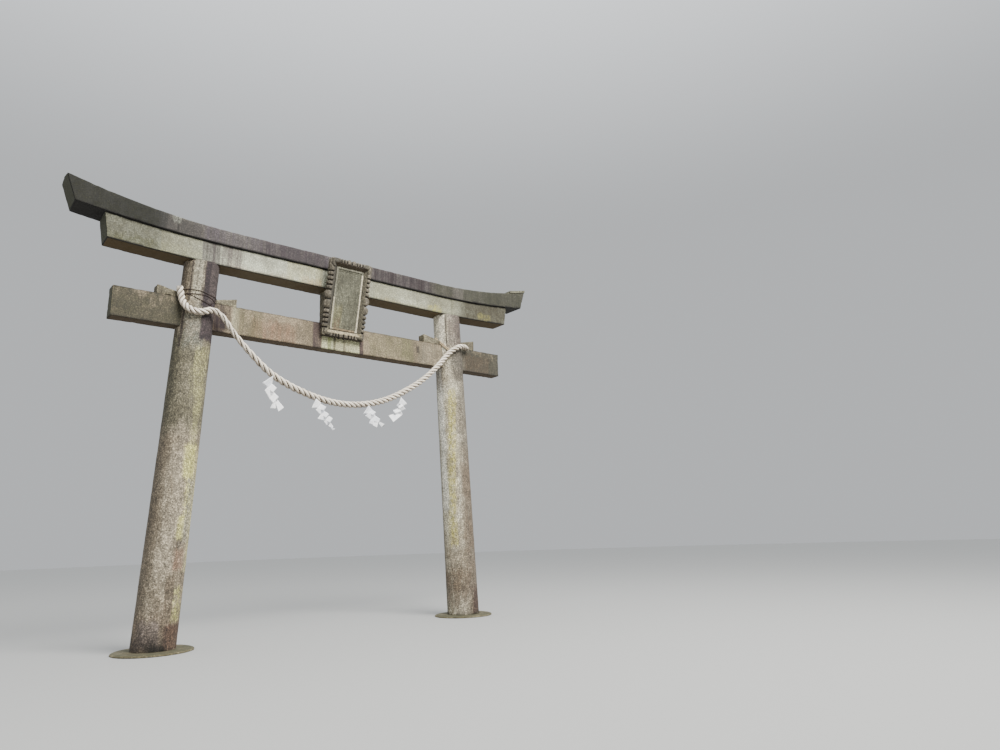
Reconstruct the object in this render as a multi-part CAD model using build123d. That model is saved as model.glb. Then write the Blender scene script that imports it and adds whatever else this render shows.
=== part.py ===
from build123d import *
import math
import os

# A stone torii gate: two round pillars that lean in and taper, a tie beam wedged through
# them, a lower and a top lintel with upswept ends, a framed tablet on the middle strut,
# and a straw rope with folded paper streamers hung across the front.
# Millimetres. X runs along the beams, Y goes away from the front, Z is up. The origin is
# on the ground, midway between the pillars.

# Base stones and pillars
base_diameter = 1000.0
base_height = 30.0
base_edge_fall = 10.0
base_edge_width = 30.0
pillar_spacing = 5080.0
pillar_foot_diameter = 554.0
pillar_head_diameter = 498.0
pillar_lean = 2.93
pillar_tenon_diameter = 180.0
pillar_tenon_height = 90.0
tenon_clearance = 3.0

# Lintels: the middle is level, and each line sweeps up from the same place
lintel_underside = 5445.0
sweep_start = 1887.0
lower_lintel_height = 327.0
lower_lintel_depth = 370.0
lower_lintel_length = 7156.0
lower_lintel_end_angle = 8.6
underside_radius = 26800.0
lintel_joint_radius = 16000.0
top_lintel_height = 258.0
top_lintel_depth = 438.0
top_lintel_length = 8006.0
top_lintel_end_angle = 18.7
top_joints = (-2700.0, 1760.0)
top_radius = 9360.0
weathering_fall = 22.0
ridge_width = 60.0

# Thin slab laid on the top lintel's right end
slab_length = 410.0
slab_past_end = 125.0
slab_rise = 25.0
slab_overhang = 12.0

# Tie beam and its wedges
tie_beam_underside = 4423.0
tie_beam_height = 438.0
tie_beam_depth = 223.0
tie_beam_length = 6878.0
mortise_clearance = 3.0
wedge_depth = 184.0
wedge_angle = 12.0
wedge_tip_gap = 30.0
wedges = {
    "left_outer_wedge": {"pillar": -1, "way": -1, "shows": 330.0, "end": 140.0},
    "left_inner_wedge": {"pillar": -1, "way": 1, "shows": 300.0, "end": 130.0},
    "right_inner_wedge": {"pillar": 1, "way": -1, "shows": 355.0, "end": 155.0},
    "right_outer_wedge": {"pillar": 1, "way": 1, "shows": 300.0, "end": 190.0},
}

# Middle strut
strut_width = 600.0
strut_depth = 200.0

# Tablet: it leans forward, with its lower edge near the tie beam
tablet_width = 750.0
tablet_height = 1300.0
tablet_lean = 12.4
tablet_gap = 4.0
tablet_foot_height = 4623.0
board_width = 127.5
board_thickness = 90.0
board_rim = 65.0
board_rise = 50.0
moulding_width = 30.0
moulding_height = 10.0
panel_thickness = 40.0
end_corner_lobe = 180.0
top_corner_lobe = 225.0
bottom_corner_lobe = 135.0
corner_round = 60.0
side_lobe = 78.0
side_lobe_count = 4
end_lobe = 52.0
end_lobe_count = 2
lobe_crown = 0.2
groove_width = 22.0
groove_depth = 20.0

# Iron stays that hold the tablet: the lower pair in the strut, the upper pair in the lintel,
# each at a height above the tablet's foot
stay_diameter = 24.0
stay_spacing = 360.0
lower_stay_rise = 337.0
upper_stay_rise = 987.0

# Rope, streamers and ties: the rope's middle hangs in one upright plane, in front of the pillars
rope_diameter = 110.0
rope_hangs_at = -305.0
streamer_thickness = 4.0
streamer_clearance = 0.3
streamer_panel = 140.0
tie_thickness = 8.0
tie_strands = {
    "left_tie": [
        {"pillar": -1, "height": 4940.0, "rise_x": -0.20, "rise_y": 0.02, "past_axis": 202.0},
        {"pillar": -1, "height": 4912.0, "rise_x": -0.44, "rise_y": 0.47, "past_axis": 142.0},
    ],
    "right_tie": [
        {"pillar": 1, "height": 4862.0, "rise_x": -0.49, "rise_y": 0.68, "past_axis": -92.0},
    ],
}

rope_points = [
    (-2603, -151, 5007),
    (-2575, -178, 4856),
    (-2506, -242, 4736),
    (-2402, -296, 4660),
    (-2273, -326, 4620),
    (-2118, -325, 4622),
    (-1973, -311, 4563),
    (-1837, -300, 4419),
    (-1590, rope_hangs_at, 4112),
    (-1126, rope_hangs_at, 3729),
    (-248, rope_hangs_at, 3450),
    (699, rope_hangs_at, 3564),
    (1393, rope_hangs_at, 3997),
    (1832, rope_hangs_at, 4367),
    (2090, -301, 4664),
    (2292, -316, 4808),
    (2442, -282, 4855),
    (2582, -201, 4851),
]

# Each streamer's four folded panels: how far each one's middle is along and below the
# place where the streamer leaves the rope, and its tilt in degrees
streamers = {
    "streamer_1": {"x": -1230.0, "panels": [(-50, 45, 48), (-40, 160, 42), (-20, 300, 52), (65, 415, 55)]},
    "streamer_2": {"x": -500.0, "panels": [(-25, 70, 22), (55, 160, 28), (110, 260, 30), (195, 355, 38)]},
    "streamer_3": {"x": 430.0, "panels": [(-40, 70, 24), (35, 130, 28), (110, 200, 32), (190, 280, 40)]},
    "streamer_4": {"x": 1020.0, "panels": [(30, 65, 40), (5, 150, -28), (-65, 235, -30), (-140, 315, -34)]},
}

LEFT, RIGHT = -1, 1
BIG = 20000.0
SAME_PLACE = 1.0
lean_slope = math.tan(math.radians(pillar_lean))


def pillar_axis(height):
    """How far a pillar's axis is from mid-span at a height above the ground."""
    return pillar_spacing / 2 - (height - base_height) * lean_slope


def pillar_radius(height):
    """The pillar's radius at a height: it tapers evenly from foot to head."""
    share = (height - base_height) / (lintel_underside - base_height)
    return (pillar_foot_diameter + share * (pillar_head_diameter - pillar_foot_diameter)) / 2


def block(x0, x1, y0, y1, z0, z1):
    """A block between two corners."""
    return Pos((x0 + x1) / 2, (y0 + y1) / 2, (z0 + z1) / 2) * Box(x1 - x0, y1 - y0, z1 - z0)


def base_stone(side):
    """A low round stone under a pillar, its upper edge worn to a slope."""
    stone = Pos(side * pillar_axis(base_height), 0, base_height / 2) * Cylinder(base_diameter / 2, base_height)
    rim = stone.edges().filter_by(GeomType.CIRCLE).sort_by(Axis.Z)[-1]
    return chamfer(rim, base_edge_fall, base_edge_width, reference=stone.faces().sort_by(Axis.Z)[1])


def shaft(side, growth=0.0):
    """The leaning, tapering pillar between its base stone and the lintel, grown all round by a skin."""
    rise = lintel_underside - base_height
    length = rise / math.cos(math.radians(pillar_lean))
    over = pillar_foot_diameter / 2
    taper = (pillar_foot_diameter - pillar_head_diameter) / 2 / length
    up = (-side * math.sin(math.radians(pillar_lean)), 0, math.cos(math.radians(pillar_lean)))
    foot = Plane(origin=(side * pillar_axis(base_height), 0, base_height), x_dir=(0, 1, 0), z_dir=up)
    cone = Solid.make_cone(
        pillar_foot_diameter / 2 + taper * over + growth,
        pillar_head_diameter / 2 - taper * over + growth,
        length + 2 * over,
        foot.offset(-over),
    )
    return cone & block(-BIG, BIG, -BIG, BIG, base_height, lintel_underside)


def tenon(side, clearance=0.0):
    """The round tenon on a pillar's head, or its socket."""
    height = pillar_tenon_height + clearance
    place = Pos(side * pillar_axis(lintel_underside), 0, lintel_underside + height / 2)
    return place * Cylinder(pillar_tenon_diameter / 2 + clearance, height)


def wedge_outline(wedge):
    """The wedge's side view: a level sole on the tie beam and a top that rises outwards."""
    sole = tie_beam_underside + tie_beam_height
    axis = wedge["pillar"] * pillar_axis(sole)
    reach = pillar_radius(sole) + wedge["shows"]
    drop = (reach - wedge_tip_gap) * math.tan(math.radians(wedge_angle))
    outer = axis + wedge["way"] * reach
    tip = axis + wedge["way"] * wedge_tip_gap
    return [(tip, sole), (outer, sole), (outer, sole + wedge["end"]), (tip, sole + wedge["end"] - drop)]


def wedge_solid(wedge, clearance=0.0):
    """A wedge, or the room that it fills in the pillar."""
    face = Plane.XZ * make_face(Polyline(*wedge_outline(wedge), close=True))
    return extrude(face, wedge_depth / 2 + clearance, both=True)


def mortise():
    """The hole through both pillars for the tie beam."""
    half = tie_beam_depth / 2 + mortise_clearance
    return block(-BIG, BIG, -half, half, tie_beam_underside, tie_beam_underside + tie_beam_height)


def pillar(side):
    """A pillar with its head tenon, cut through for the tie beam and its two wedges."""
    body = shaft(side) + tenon(side)
    body -= mortise()
    for wedge in wedges.values():
        if wedge["pillar"] == side:
            body -= wedge_solid(wedge, mortise_clearance)
    return body


def sweep_angle(radius, reach):
    return math.degrees(math.asin((reach - sweep_start) / radius))


def swept_height(height, radius, reach):
    """The height of a swept line at a distance from mid-span."""
    return height + radius - math.sqrt(radius**2 - max(0.0, reach - sweep_start) ** 2)


def swept_bar(low, low_radius, high, high_radius, depth, reach):
    """A bar that is level in the middle and swept up on both sides, with upright ends."""
    lines = []
    for height, radius in ((low, low_radius), (high, high_radius)):
        angle = sweep_angle(radius, reach)
        lines.append(Line((-sweep_start, height), (sweep_start, height)))
        lines.append(JernArc((sweep_start, height), (1, 0), radius, angle))
        lines.append(JernArc((-sweep_start, height), (-1, 0), radius, -angle))
    for side in (LEFT, RIGHT):
        ends = [(side * reach, swept_height(h, r, reach)) for h, r in ((low, low_radius), (high, high_radius))]
        lines.append(Line(*ends))
    return extrude(Plane.XZ * make_face(lines), depth / 2, both=True)


def lintel_bar(low, low_radius, high, high_radius, depth, length, end_angle):
    """A lintel in one piece: a swept bar cut to its slanting ends."""
    reach = length / 2 + (high - low) + pillar_foot_diameter
    bar = swept_bar(low, low_radius, high, high_radius, depth, reach)
    slope = math.tan(math.radians(end_angle))
    corner = swept_height(low, low_radius, length / 2)
    bottom, top = low - depth, high + BIG / 10
    outline = [
        (-length / 2 - (bottom - corner) * slope, bottom),
        (length / 2 + (bottom - corner) * slope, bottom),
        (length / 2 + (top - corner) * slope, top),
        (-length / 2 - (top - corner) * slope, top),
    ]
    return bar & extrude(Plane.XZ * make_face(Polyline(*outline, close=True)), depth, both=True)


def three_stones(bar, joints):
    """The bar cut into a left, a middle and a right stone at two upright joints."""
    ends = [-BIG, *joints, BIG]
    names = ("left", "middle", "right")
    return {name: bar & block(x0, x1, -BIG, BIG, 0, BIG) for name, x0, x1 in zip(names, ends, ends[1:])}


def lower_lintel():
    bar = lintel_bar(
        lintel_underside,
        underside_radius,
        lintel_underside + lower_lintel_height,
        lintel_joint_radius,
        lower_lintel_depth,
        lower_lintel_length,
        lower_lintel_end_angle,
    )
    for side in (LEFT, RIGHT):
        bar -= tenon(side, tenon_clearance)
    over_pillars = pillar_axis(lintel_underside)
    return three_stones(bar, (-over_pillars, over_pillars))


def top_lintel():
    joint = lintel_underside + lower_lintel_height
    bar = lintel_bar(
        joint,
        lintel_joint_radius,
        joint + top_lintel_height,
        top_radius,
        top_lintel_depth,
        top_lintel_length,
        top_lintel_end_angle,
    )
    stones = three_stones(bar, top_joints)
    return {name: weathered(stone) for name, stone in stones.items()}


def end_slab(stone):
    """The thin slab that lies on the top lintel's right end and stands out a little past its faces."""
    ridge = lintel_underside + lower_lintel_height + top_lintel_height
    end = top_lintel_length / 2 + slab_past_end
    depth = top_lintel_depth + 2 * slab_overhang
    bar = swept_bar(ridge - weathering_fall, top_radius, ridge + slab_rise, top_radius, depth, end)
    return (bar & block(end - slab_length, end, -BIG, BIG, 0, BIG)) - stone


def weathered(stone):
    """The top falls a little to the front and back from a flat ridge."""
    slope_width = (top_lintel_depth - ridge_width) / 2
    solid = stone
    for side in (-1, 1):
        chosen = [e for e in solid.edges() if is_top_edge(e, side)]
        front = [f for f in solid.faces() if abs(f.center().Y - side * top_lintel_depth / 2) < SAME_PLACE][0]
        solid = chamfer(chosen, weathering_fall, slope_width, reference=front)
    return solid


def is_top_edge(edge, side):
    """An edge along the top of the front or back face."""
    if abs(edge.center().Y - side * top_lintel_depth / 2) > SAME_PLACE:
        return False
    middle = edge @ 0.5
    height = lintel_underside + lower_lintel_height + top_lintel_height
    return abs(middle.Z - swept_height(height, top_radius, abs(middle.X))) < SAME_PLACE


def tie_beam():
    """The beam through both pillars, resting on the mortise floors."""
    return block(
        -tie_beam_length / 2,
        tie_beam_length / 2,
        -tie_beam_depth / 2,
        tie_beam_depth / 2,
        tie_beam_underside,
        tie_beam_underside + tie_beam_height,
    )


def strut():
    """The block between the tie beam and the lower lintel."""
    return block(
        -strut_width / 2,
        strut_width / 2,
        -strut_depth / 2,
        strut_depth / 2,
        tie_beam_underside + tie_beam_height,
        lintel_underside,
    )


def large_lobe(length, corners, lobe, count):
    """What the corners and small lobes leave for each of the two large lobes of one side."""
    return (length - corners) / 2 - count * lobe


def side_lobes():
    large = large_lobe(tablet_height, top_corner_lobe + bottom_corner_lobe, side_lobe, side_lobe_count)
    return [side_lobe] * side_lobe_count + [large, large] + [side_lobe] * side_lobe_count


def end_lobes():
    large = large_lobe(tablet_width, 2 * end_corner_lobe, end_lobe, end_lobe_count)
    return [end_lobe] * end_lobe_count + [large, large] + [end_lobe] * end_lobe_count


# The tablet's own plane: X across, Y up the leaning face, Z out of its front, with the
# origin at the middle of the frame's lower edge, level with the boards' front rim. Its
# back lower edge stands just clear of the tie beam's face.
lean_angle = math.radians(tablet_lean)
tablet_offset = board_thickness * math.cos(lean_angle) + max(end_lobes()) * lobe_crown * math.sin(lean_angle) + tablet_gap
tablet_plane = Plane(
    origin=(0, -tie_beam_depth / 2 - tablet_offset, tablet_foot_height),
    x_dir=(1, 0, 0),
    z_dir=(0, -math.cos(lean_angle), -math.sin(lean_angle)),
)


def cusps(start, direction, lobes):
    """The places where the lobes of one side meet, from the first corner to the last."""
    places = [Vector(*start)]
    for lobe in lobes:
        places.append(places[-1] + Vector(*direction) * lobe)
    return places


def frame_sides():
    """Each side of the frame: its cusps, and the way outwards."""
    w, h = tablet_width / 2, tablet_height
    return [
        (cusps((w, bottom_corner_lobe), (0, 1), side_lobes()), Vector(1, 0)),
        (cusps((w - end_corner_lobe, h), (-1, 0), end_lobes()), Vector(0, 1)),
        (cusps((-w, h - top_corner_lobe), (0, -1), side_lobes()), Vector(-1, 0)),
        (cusps((-w + end_corner_lobe, 0), (1, 0), end_lobes()), Vector(0, -1)),
    ]


def corner_edges(end, end_out, start, start_out):
    """A plain rounded corner that stands out as far as the small lobes beside it."""
    crown = end_lobe * lobe_crown
    first = end + (end_out + start_out) * crown
    last = start + (end_out + start_out) * crown
    corner = Vector(last.X, first.Y) if end_out.X == 0 else Vector(first.X, last.Y)
    route = FilletPolyline(end, first, corner, last, start, radius=[0, corner_round, 0])
    return route.edges()


def frame_outline():
    """The lobed outline of the four boards."""
    edges = []
    sides = frame_sides()
    for places, out in sides:
        for a, b in zip(places, places[1:]):
            crown = (a + b) / 2 + out * ((b - a).length * lobe_crown)
            edges.append(ThreePointArc(a, crown, b))
    for (places, out), (next_places, next_out) in zip(sides, sides[1:] + sides[:1]):
        edges += corner_edges(places[-1], out, next_places[0], next_out)
    return make_face(edges)


def groove(place, out):
    """A vee groove across the boards' front rim, from a cusp to the inner edge of the rim."""
    along = Vector(-out.Y, out.X) * (groove_width / 2)
    vee = make_face(Polyline((-groove_width / 2, 0), (groove_width / 2, 0), (0, -groove_depth), close=True))
    plane = Plane(origin=place + out * board_rim / 2, x_dir=along, z_dir=-out)
    return extrude(plane * vee, board_rim * 1.5)


def frame_ring():
    """The four boards in one ring, with faces that splay in to the panel."""
    back = board_rise - board_thickness
    ring = extrude(Pos(0, 0, -board_thickness) * frame_outline(), board_thickness)
    inner_width = tablet_width - 2 * board_width
    inner_height = tablet_height - 2 * board_width
    middle = tablet_height / 2
    rim_width = tablet_width - 2 * board_rim
    rim_height = tablet_height - 2 * board_rim
    well = loft(
        [
            Pos(0, middle, -board_rise) * Rectangle(inner_width, inner_height),
            Pos(0, middle, 0) * Rectangle(rim_width, rim_height),
        ],
        ruled=True,
    )
    hole = extrude(Pos(0, middle, -board_thickness) * Rectangle(inner_width, inner_height), board_thickness)
    ring = ring - well - hole
    for places, out in frame_sides():
        for place in places:
            ring -= groove(place, out)
    return ring


def boards():
    """The ring cut into four mitred boards."""
    ring = frame_ring()
    w, h, far = tablet_width / 2, tablet_height, tablet_width
    low, high = (0, w), (0, h - w)
    sides = {
        "tablet_bottom_board": [(-w - far, -far), (w + far, -far), low],
        "tablet_top_board": [(-w - far, h + far), (w + far, h + far), high],
        "tablet_left_board": [(-w - far, -far), low, high, (-w - far, h + far)],
        "tablet_right_board": [(w + far, -far), low, high, (w + far, h + far)],
    }
    out = {}
    for name, points in sides.items():
        prism = extrude(make_face(Polyline(*points, close=True)), board_thickness * 2, both=True)
        out[name] = tablet_plane * (ring & prism)
    return out


def tablet_panel():
    """The flat panel inside the boards."""
    width = tablet_width - 2 * board_width
    height = tablet_height - 2 * board_width
    base = Pos(0, tablet_height / 2, -board_thickness) * Rectangle(width, height)
    return tablet_plane * extrude(base, panel_thickness)


def tablet_moulding():
    """The raised band round the edge of the panel."""
    width = tablet_width - 2 * board_width
    height = tablet_height - 2 * board_width
    face = Rectangle(width, height) - Rectangle(width - 2 * moulding_width, height - 2 * moulding_width)
    front = panel_thickness - board_thickness
    return tablet_plane * extrude(Pos(0, tablet_height / 2, front) * face, moulding_height)


def tablet_stay(side, rise, carrier_depth):
    """An iron rod from the face of the strut or lintel to the back of the tablet."""
    face = -carrier_depth / 2
    height = tablet_foot_height + rise
    rod = Pos(side * stay_spacing / 2, face - tablet_height / 2, height) * Rot(90, 0, 0)
    rod = rod * Cylinder(stay_diameter / 2, tablet_height)
    back = Pos(0, tablet_height / 2, -board_thickness) * Rectangle(tablet_width, 2 * tablet_height)
    return rod & (tablet_plane * extrude(back, -2 * tablet_height))


def turn_angles(points):
    """The turn at each inner point of a route, in degrees."""
    runs = [Vector(*b) - Vector(*a) for a, b in zip(points, points[1:])]
    return [a.get_angle(b) for a, b in zip(runs, runs[1:])]


def corner_radii(points):
    """The largest arc that each corner of a route takes."""
    runs = [(Vector(*b) - Vector(*a)).length for a, b in zip(points, points[1:])]
    radii = []
    for angle, before, after in zip(turn_angles(points), runs, runs[1:]):
        radii.append(0.45 * min(before, after) / math.tan(math.radians(angle / 2)))
    return radii


def tube(points, diameter):
    """A tube along straight runs joined by tangent arcs."""
    radii = corner_radii(points)
    path = FilletPolyline(*points, radius=radii)
    section = Plane(origin=path @ 0, z_dir=path % 0) * Circle(diameter / 2)
    solid = sweep(section, path=path)
    expected = math.pi * diameter**2 / 4 * path.length
    print("arc radii in diameters:", [round(r / diameter, 1) for r in radii])
    print("tube length", round(path.length), "volume over section times length", round(solid.volume / expected, 4))
    return solid


def rope_height(x):
    """The height of the rope's middle above a place along the gate."""
    for a, b in zip(rope_points, rope_points[1:]):
        if a[0] <= x <= b[0]:
            return a[2] + (x - a[0]) / (b[0] - a[0]) * (b[2] - a[2])
    return rope_points[-1][2]


def streamer(spec):
    """A flat streamer of four tilted square panels, hung from the front of the rope."""
    face = Sketch()
    for along, below, tilt in spec["panels"]:
        face += Pos(along, -below) * Rot(0, 0, tilt) * Rectangle(streamer_panel, streamer_panel)
    place = Plane(
        origin=(spec["x"], rope_hangs_at - rope_diameter / 2 - streamer_clearance, rope_height(spec["x"])),
        x_dir=(1, 0, 0),
        z_dir=(0, -1, 0),
    )
    return place * extrude(face, streamer_thickness)


def tie_strand(strand):
    """A thin cord round the front of a pillar, in a sloping plane."""
    side = strand["pillar"]
    height = strand["height"]
    place = Plane(
        origin=(side * pillar_axis(height), 0, height),
        z_dir=(-strand["rise_x"], -strand["rise_y"], 1),
    )
    slab = place * Box(pillar_foot_diameter * 2, pillar_foot_diameter * 2, tie_thickness)
    end = side * pillar_axis(height) + strand["past_axis"]
    front = block(-BIG, end, -BIG, -wedge_depth / 2 - mortise_clearance, 0, BIG)
    return (shaft(side, tie_thickness) - shaft(side)) & slab & front


def all_nodes():
    nodes = {
        "left_base_stone": base_stone(LEFT),
        "right_base_stone": base_stone(RIGHT),
        "left_pillar": pillar(LEFT),
        "right_pillar": pillar(RIGHT),
        "tie_beam": tie_beam(),
        "middle_strut": strut(),
    }
    for name, wedge in wedges.items():
        nodes[name] = wedge_solid(wedge)
    for name, stone in lower_lintel().items():
        nodes["lower_lintel_" + name] = stone
    for name, stone in top_lintel().items():
        nodes["top_lintel_" + name] = stone
    nodes["right_end_slab"] = end_slab(nodes["top_lintel_right"])
    nodes.update(boards())
    nodes["tablet_panel"] = tablet_panel()
    nodes["tablet_moulding"] = tablet_moulding()
    for side, name in ((LEFT, "left"), (RIGHT, "right")):
        nodes["lower_stay_" + name] = tablet_stay(side, lower_stay_rise, strut_depth)
        nodes["upper_stay_" + name] = tablet_stay(side, upper_stay_rise, lower_lintel_depth)
    nodes["rope"] = tube(rope_points, rope_diameter)
    for name, spec in streamers.items():
        nodes[name] = streamer(spec)
    for name, strands in tie_strands.items():
        nodes[name] = Compound([solid for strand in strands for solid in tie_strand(strand).solids()])
    return nodes


os.makedirs("parts", exist_ok=True)
for node_name, solid in all_nodes().items():
    export_step(solid, "parts/" + node_name + ".step")
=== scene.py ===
# %% [markdown]
# A stone shrine gate, dressed around its packed construction. The frame brings every stone at its
# real size and place, and this file gives each one its finish: worn edges, granite grain, rain
# streaks and lichen. It also makes the twisted straw rope, the folded paper and the thin ties.
# The lesson goes from the camera to the soft pieces, then to the stones, and ends with the light.

# %% Load the frame
import math
import random
import bmesh
import bpy
from mathutils import Matrix, Vector, noise


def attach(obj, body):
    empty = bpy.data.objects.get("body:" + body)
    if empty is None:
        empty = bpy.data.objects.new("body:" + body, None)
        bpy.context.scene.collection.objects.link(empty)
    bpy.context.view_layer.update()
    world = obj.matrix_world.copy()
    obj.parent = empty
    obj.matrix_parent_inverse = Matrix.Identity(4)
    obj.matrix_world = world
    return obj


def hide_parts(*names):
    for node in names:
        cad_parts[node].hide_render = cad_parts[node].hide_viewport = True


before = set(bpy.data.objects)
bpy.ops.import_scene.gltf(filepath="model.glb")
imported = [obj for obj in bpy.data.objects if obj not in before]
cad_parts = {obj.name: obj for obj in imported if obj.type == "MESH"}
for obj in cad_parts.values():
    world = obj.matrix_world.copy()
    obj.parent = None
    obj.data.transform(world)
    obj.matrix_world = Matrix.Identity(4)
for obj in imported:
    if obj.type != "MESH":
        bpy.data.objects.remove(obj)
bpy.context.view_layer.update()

BODY = "root"
print("stones and soft solids in the frame:", len(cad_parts))

# %% [markdown]
# The camera comes first, because every likeness is judged through it. It stands left of the middle,
# at a seated person's eye height, and looks up and to the right. Blender's camera looks down its own
# -Z, so the turn is made of three simple ones: to the right, up, and a slight tilt of the horizon.
# It could also be aimed with a Track To constraint, but plain numbers don't move with other edits.

# %% Camera
eye = Vector((-5.2592, -10.3507, 1.3143))
turned_right = math.radians(40.474)
looking_up = math.radians(13.138)
horizon_tilt = math.radians(-1.868)
lens_mm = 25.065

camera_data = bpy.data.cameras.new("camera")
camera_data.lens = lens_mm
camera_data.sensor_width = 36.0
camera_data.sensor_fit = "HORIZONTAL"
camera = bpy.data.objects.new("camera", camera_data)
bpy.context.collection.objects.link(camera)
aim = (
    Matrix.Rotation(-turned_right, 4, "Z")
    @ Matrix.Rotation(math.pi / 2 + looking_up, 4, "X")
    @ Matrix.Rotation(horizon_tilt, 4, "Z")
)
camera.matrix_world = Matrix.Translation(eye) @ aim
bpy.context.scene.camera = camera
print("camera looks along", [round(v, 3) for v in aim @ Vector((0, 0, -1))])

# %% [markdown]
# A shader is arithmetic on masks and colours, and it reads best when it is written that way. This
# small class wraps one socket of a node tree. Adding, subtracting or multiplying sockets adds the
# Math node that does it, and one method makes every other node: its settings first, because some
# settings change which sockets a node has, and then its values and links. A tint is written from 0
# to 255, as a paint chart gives it, and turned into linear light where it is mixed.

# %% Sockets as arithmetic
def linear(red, green, blue):
    """A tint from 0 to 255, in the linear light that shaders use."""
    return tuple((v / 255) ** 2.2 for v in (red, green, blue)) + (1.0,)


class Socket:
    """One output of a shader node, ready for plain arithmetic."""

    def __init__(self, tree, out):
        self.tree = tree
        self.out = out

    def node(self, kind, settings=None, inputs=None, output=0):
        """Adds a node with these settings and these values or links, and gives one of its outputs."""
        made = self.tree.nodes.new(kind)
        for name, value in (settings or {}).items():
            setattr(made, name, value)
        for name, value in (inputs or {}).items():
            if isinstance(value, Socket):
                self.tree.links.new(value.out, made.inputs[name])
            else:
                made.inputs[name].default_value = value
        return Socket(self.tree, made.outputs[output])

    def maths(self, operation, other):
        return self.node("ShaderNodeMath", {"operation": operation}, {0: self, 1: other})

    def __add__(self, other):
        return self.maths("ADD", other)

    def __sub__(self, other):
        return self.maths("SUBTRACT", other)

    def __mul__(self, other):
        return self.maths("MULTIPLY", other)

    def between(self, low, high):
        """0 below low, 1 above high, with a soft step between; it falls where low is the higher."""
        inputs = {"Value": self, "From Min": low, "From Max": high}
        return self.node("ShaderNodeMapRange", {"interpolation_type": "SMOOTHSTEP"}, inputs)

    def mix(self, first, second):
        """A colour that goes from the first tint to the second as this mask goes from 0 to 1."""
        first, second = (tint if isinstance(tint, Socket) else linear(*tint) for tint in (first, second))
        settings = {"data_type": "RGBA", "clamp_factor": True}
        return self.node("ShaderNodeMix", settings, {0: self, 6: first, 7: second}, 2)

    def axis(self, name):
        return self.node("ShaderNodeSeparateXYZ", None, {0: self}, name)

    def vector_maths(self, operation, name, other):
        return self.node("ShaderNodeVectorMath", {"operation": operation}, {0: self, name: other})

    def stretched(self, x, y, z):
        """This place with each axis multiplied, which squeezes a pattern along that axis."""
        return self.vector_maths("MULTIPLY", 1, (x, y, z))

    def moved(self, x, y, z):
        return self.vector_maths("ADD", 1, (x, y, z))

    def shaded(self, light):
        """This colour made darker or lighter by a factor, with its hue kept."""
        return self.vector_maths("SCALE", "Scale", light)

    def attribute(self, name):
        """A named attribute of the mesh."""
        return self.node("ShaderNodeAttribute", {"attribute_name": name}, None, "Fac")

    def facing(self, axis):
        """How far the surface faces along an axis, from -1 to 1."""
        return self.node("ShaderNodeNewGeometry", None, None, "Normal").axis(axis)

    def openness(self, reach):
        """How open a spot is, from 0 in a crevice to 1, looking this far."""
        settings = {"samples": 6, "only_local": True}
        return self.node("ShaderNodeAmbientOcclusion", settings, {"Distance": reach}, "AO")

    def clouds(self, scale, detail=3.0, rough=0.55):
        """Soft noise at this place, from 0 to 1 and mostly near a half."""
        inputs = {"Vector": self, "Scale": scale, "Detail": detail, "Roughness": rough}
        return self.node("ShaderNodeTexNoise", None, inputs)

    def cells(self, scale):
        """Cells like crystals: the distance to the middle of the nearest one."""
        return self.node("ShaderNodeTexVoronoi", None, {"Vector": self, "Scale": scale}, "Distance")


print("a tint of 128 is", round(linear(128, 128, 128)[0], 3), "in linear light")

# %% [markdown]
# Every material starts from the same few steps: an empty tree, a place to read the pattern from, and
# a Principled shader. Object coordinates are in metres here, because every object stays at the
# origin, unturned and unscaled. So a stain keeps its real size and place, and it runs on unbroken
# from one stone to the next, as rain does. Every material also ends alike, with a tint, a roughness
# and a height that the normal follows.

# %% Starting and finishing a material
def start_material(name, uv=False):
    """A new material, and the place that its pattern reads."""
    material = bpy.data.materials.new(name)
    material.use_nodes = True
    tree = material.node_tree
    where = tree.nodes.new("ShaderNodeTexCoord").outputs["UV" if uv else "Object"]
    return material, Socket(tree, where)


def feed(material, name, value):
    """Links a socket to an input of the material's shader, or sets the input to a plain value."""
    target = material.node_tree.nodes["Principled BSDF"].inputs[name]
    if isinstance(value, Socket):
        material.node_tree.links.new(value.out, target)
    else:
        target.default_value = value


def finish_material(material, tint, roughness, height, rise, strength=1.0):
    """Feeds the shader its tint, its roughness, and a height that rises by this much, in metres."""
    bump = {"Height": height, "Distance": rise, "Strength": strength}
    feed(material, "Base Color", tint)
    feed(material, "Roughness", roughness)
    feed(material, "Normal", height.node("ShaderNodeBump", None, bump))
    return material


print("materials that come with the frame:", len(bpy.data.materials))

# %% [markdown]
# The rope hangs from pillar to pillar under its own weight, and its ends are laid round the pillars'
# fronts. Its line is one smooth NURBS curve, whose control points are a listed route in metres.
# A curve with no thickness turns into a bare chain of points, and those are spaced out evenly here,
# because the strands, the loose straws and the rope's ends are all placed by length along it.

# %% The rope's line
rope_route = [
    (-2.595, -0.151, 4.993),
    (-2.562, -0.151, 4.845),
    (-2.532, -0.213, 4.718),
    (-2.446, -0.285, 4.628),
    (-2.307, -0.320, 4.615),
    (-2.146, -0.282, 4.704),
    (-1.984, -0.284, 4.606),
    (-1.863, -0.308, 4.407),
    (-1.580, -0.305, 4.115),
    (-1.138, -0.305, 3.737),
    (-0.187, -0.305, 3.450),
    (0.655, -0.305, 3.563),
    (1.410, -0.305, 3.984),
    (1.845, -0.305, 4.375),
    (2.103, -0.266, 4.662),
    (2.259, -0.317, 4.788),
    (2.419, -0.295, 4.844),
    (2.570, -0.202, 4.853),
]
line_step = 0.010
curve_resolution = 24


def mesh_of_curve(curve):
    """The mesh that a curve makes, after which the curve itself is removed."""
    mesh = bpy.data.meshes.new_from_object(bpy.data.objects.new(curve.name, curve))
    bpy.data.curves.remove(curve)
    return mesh


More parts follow.
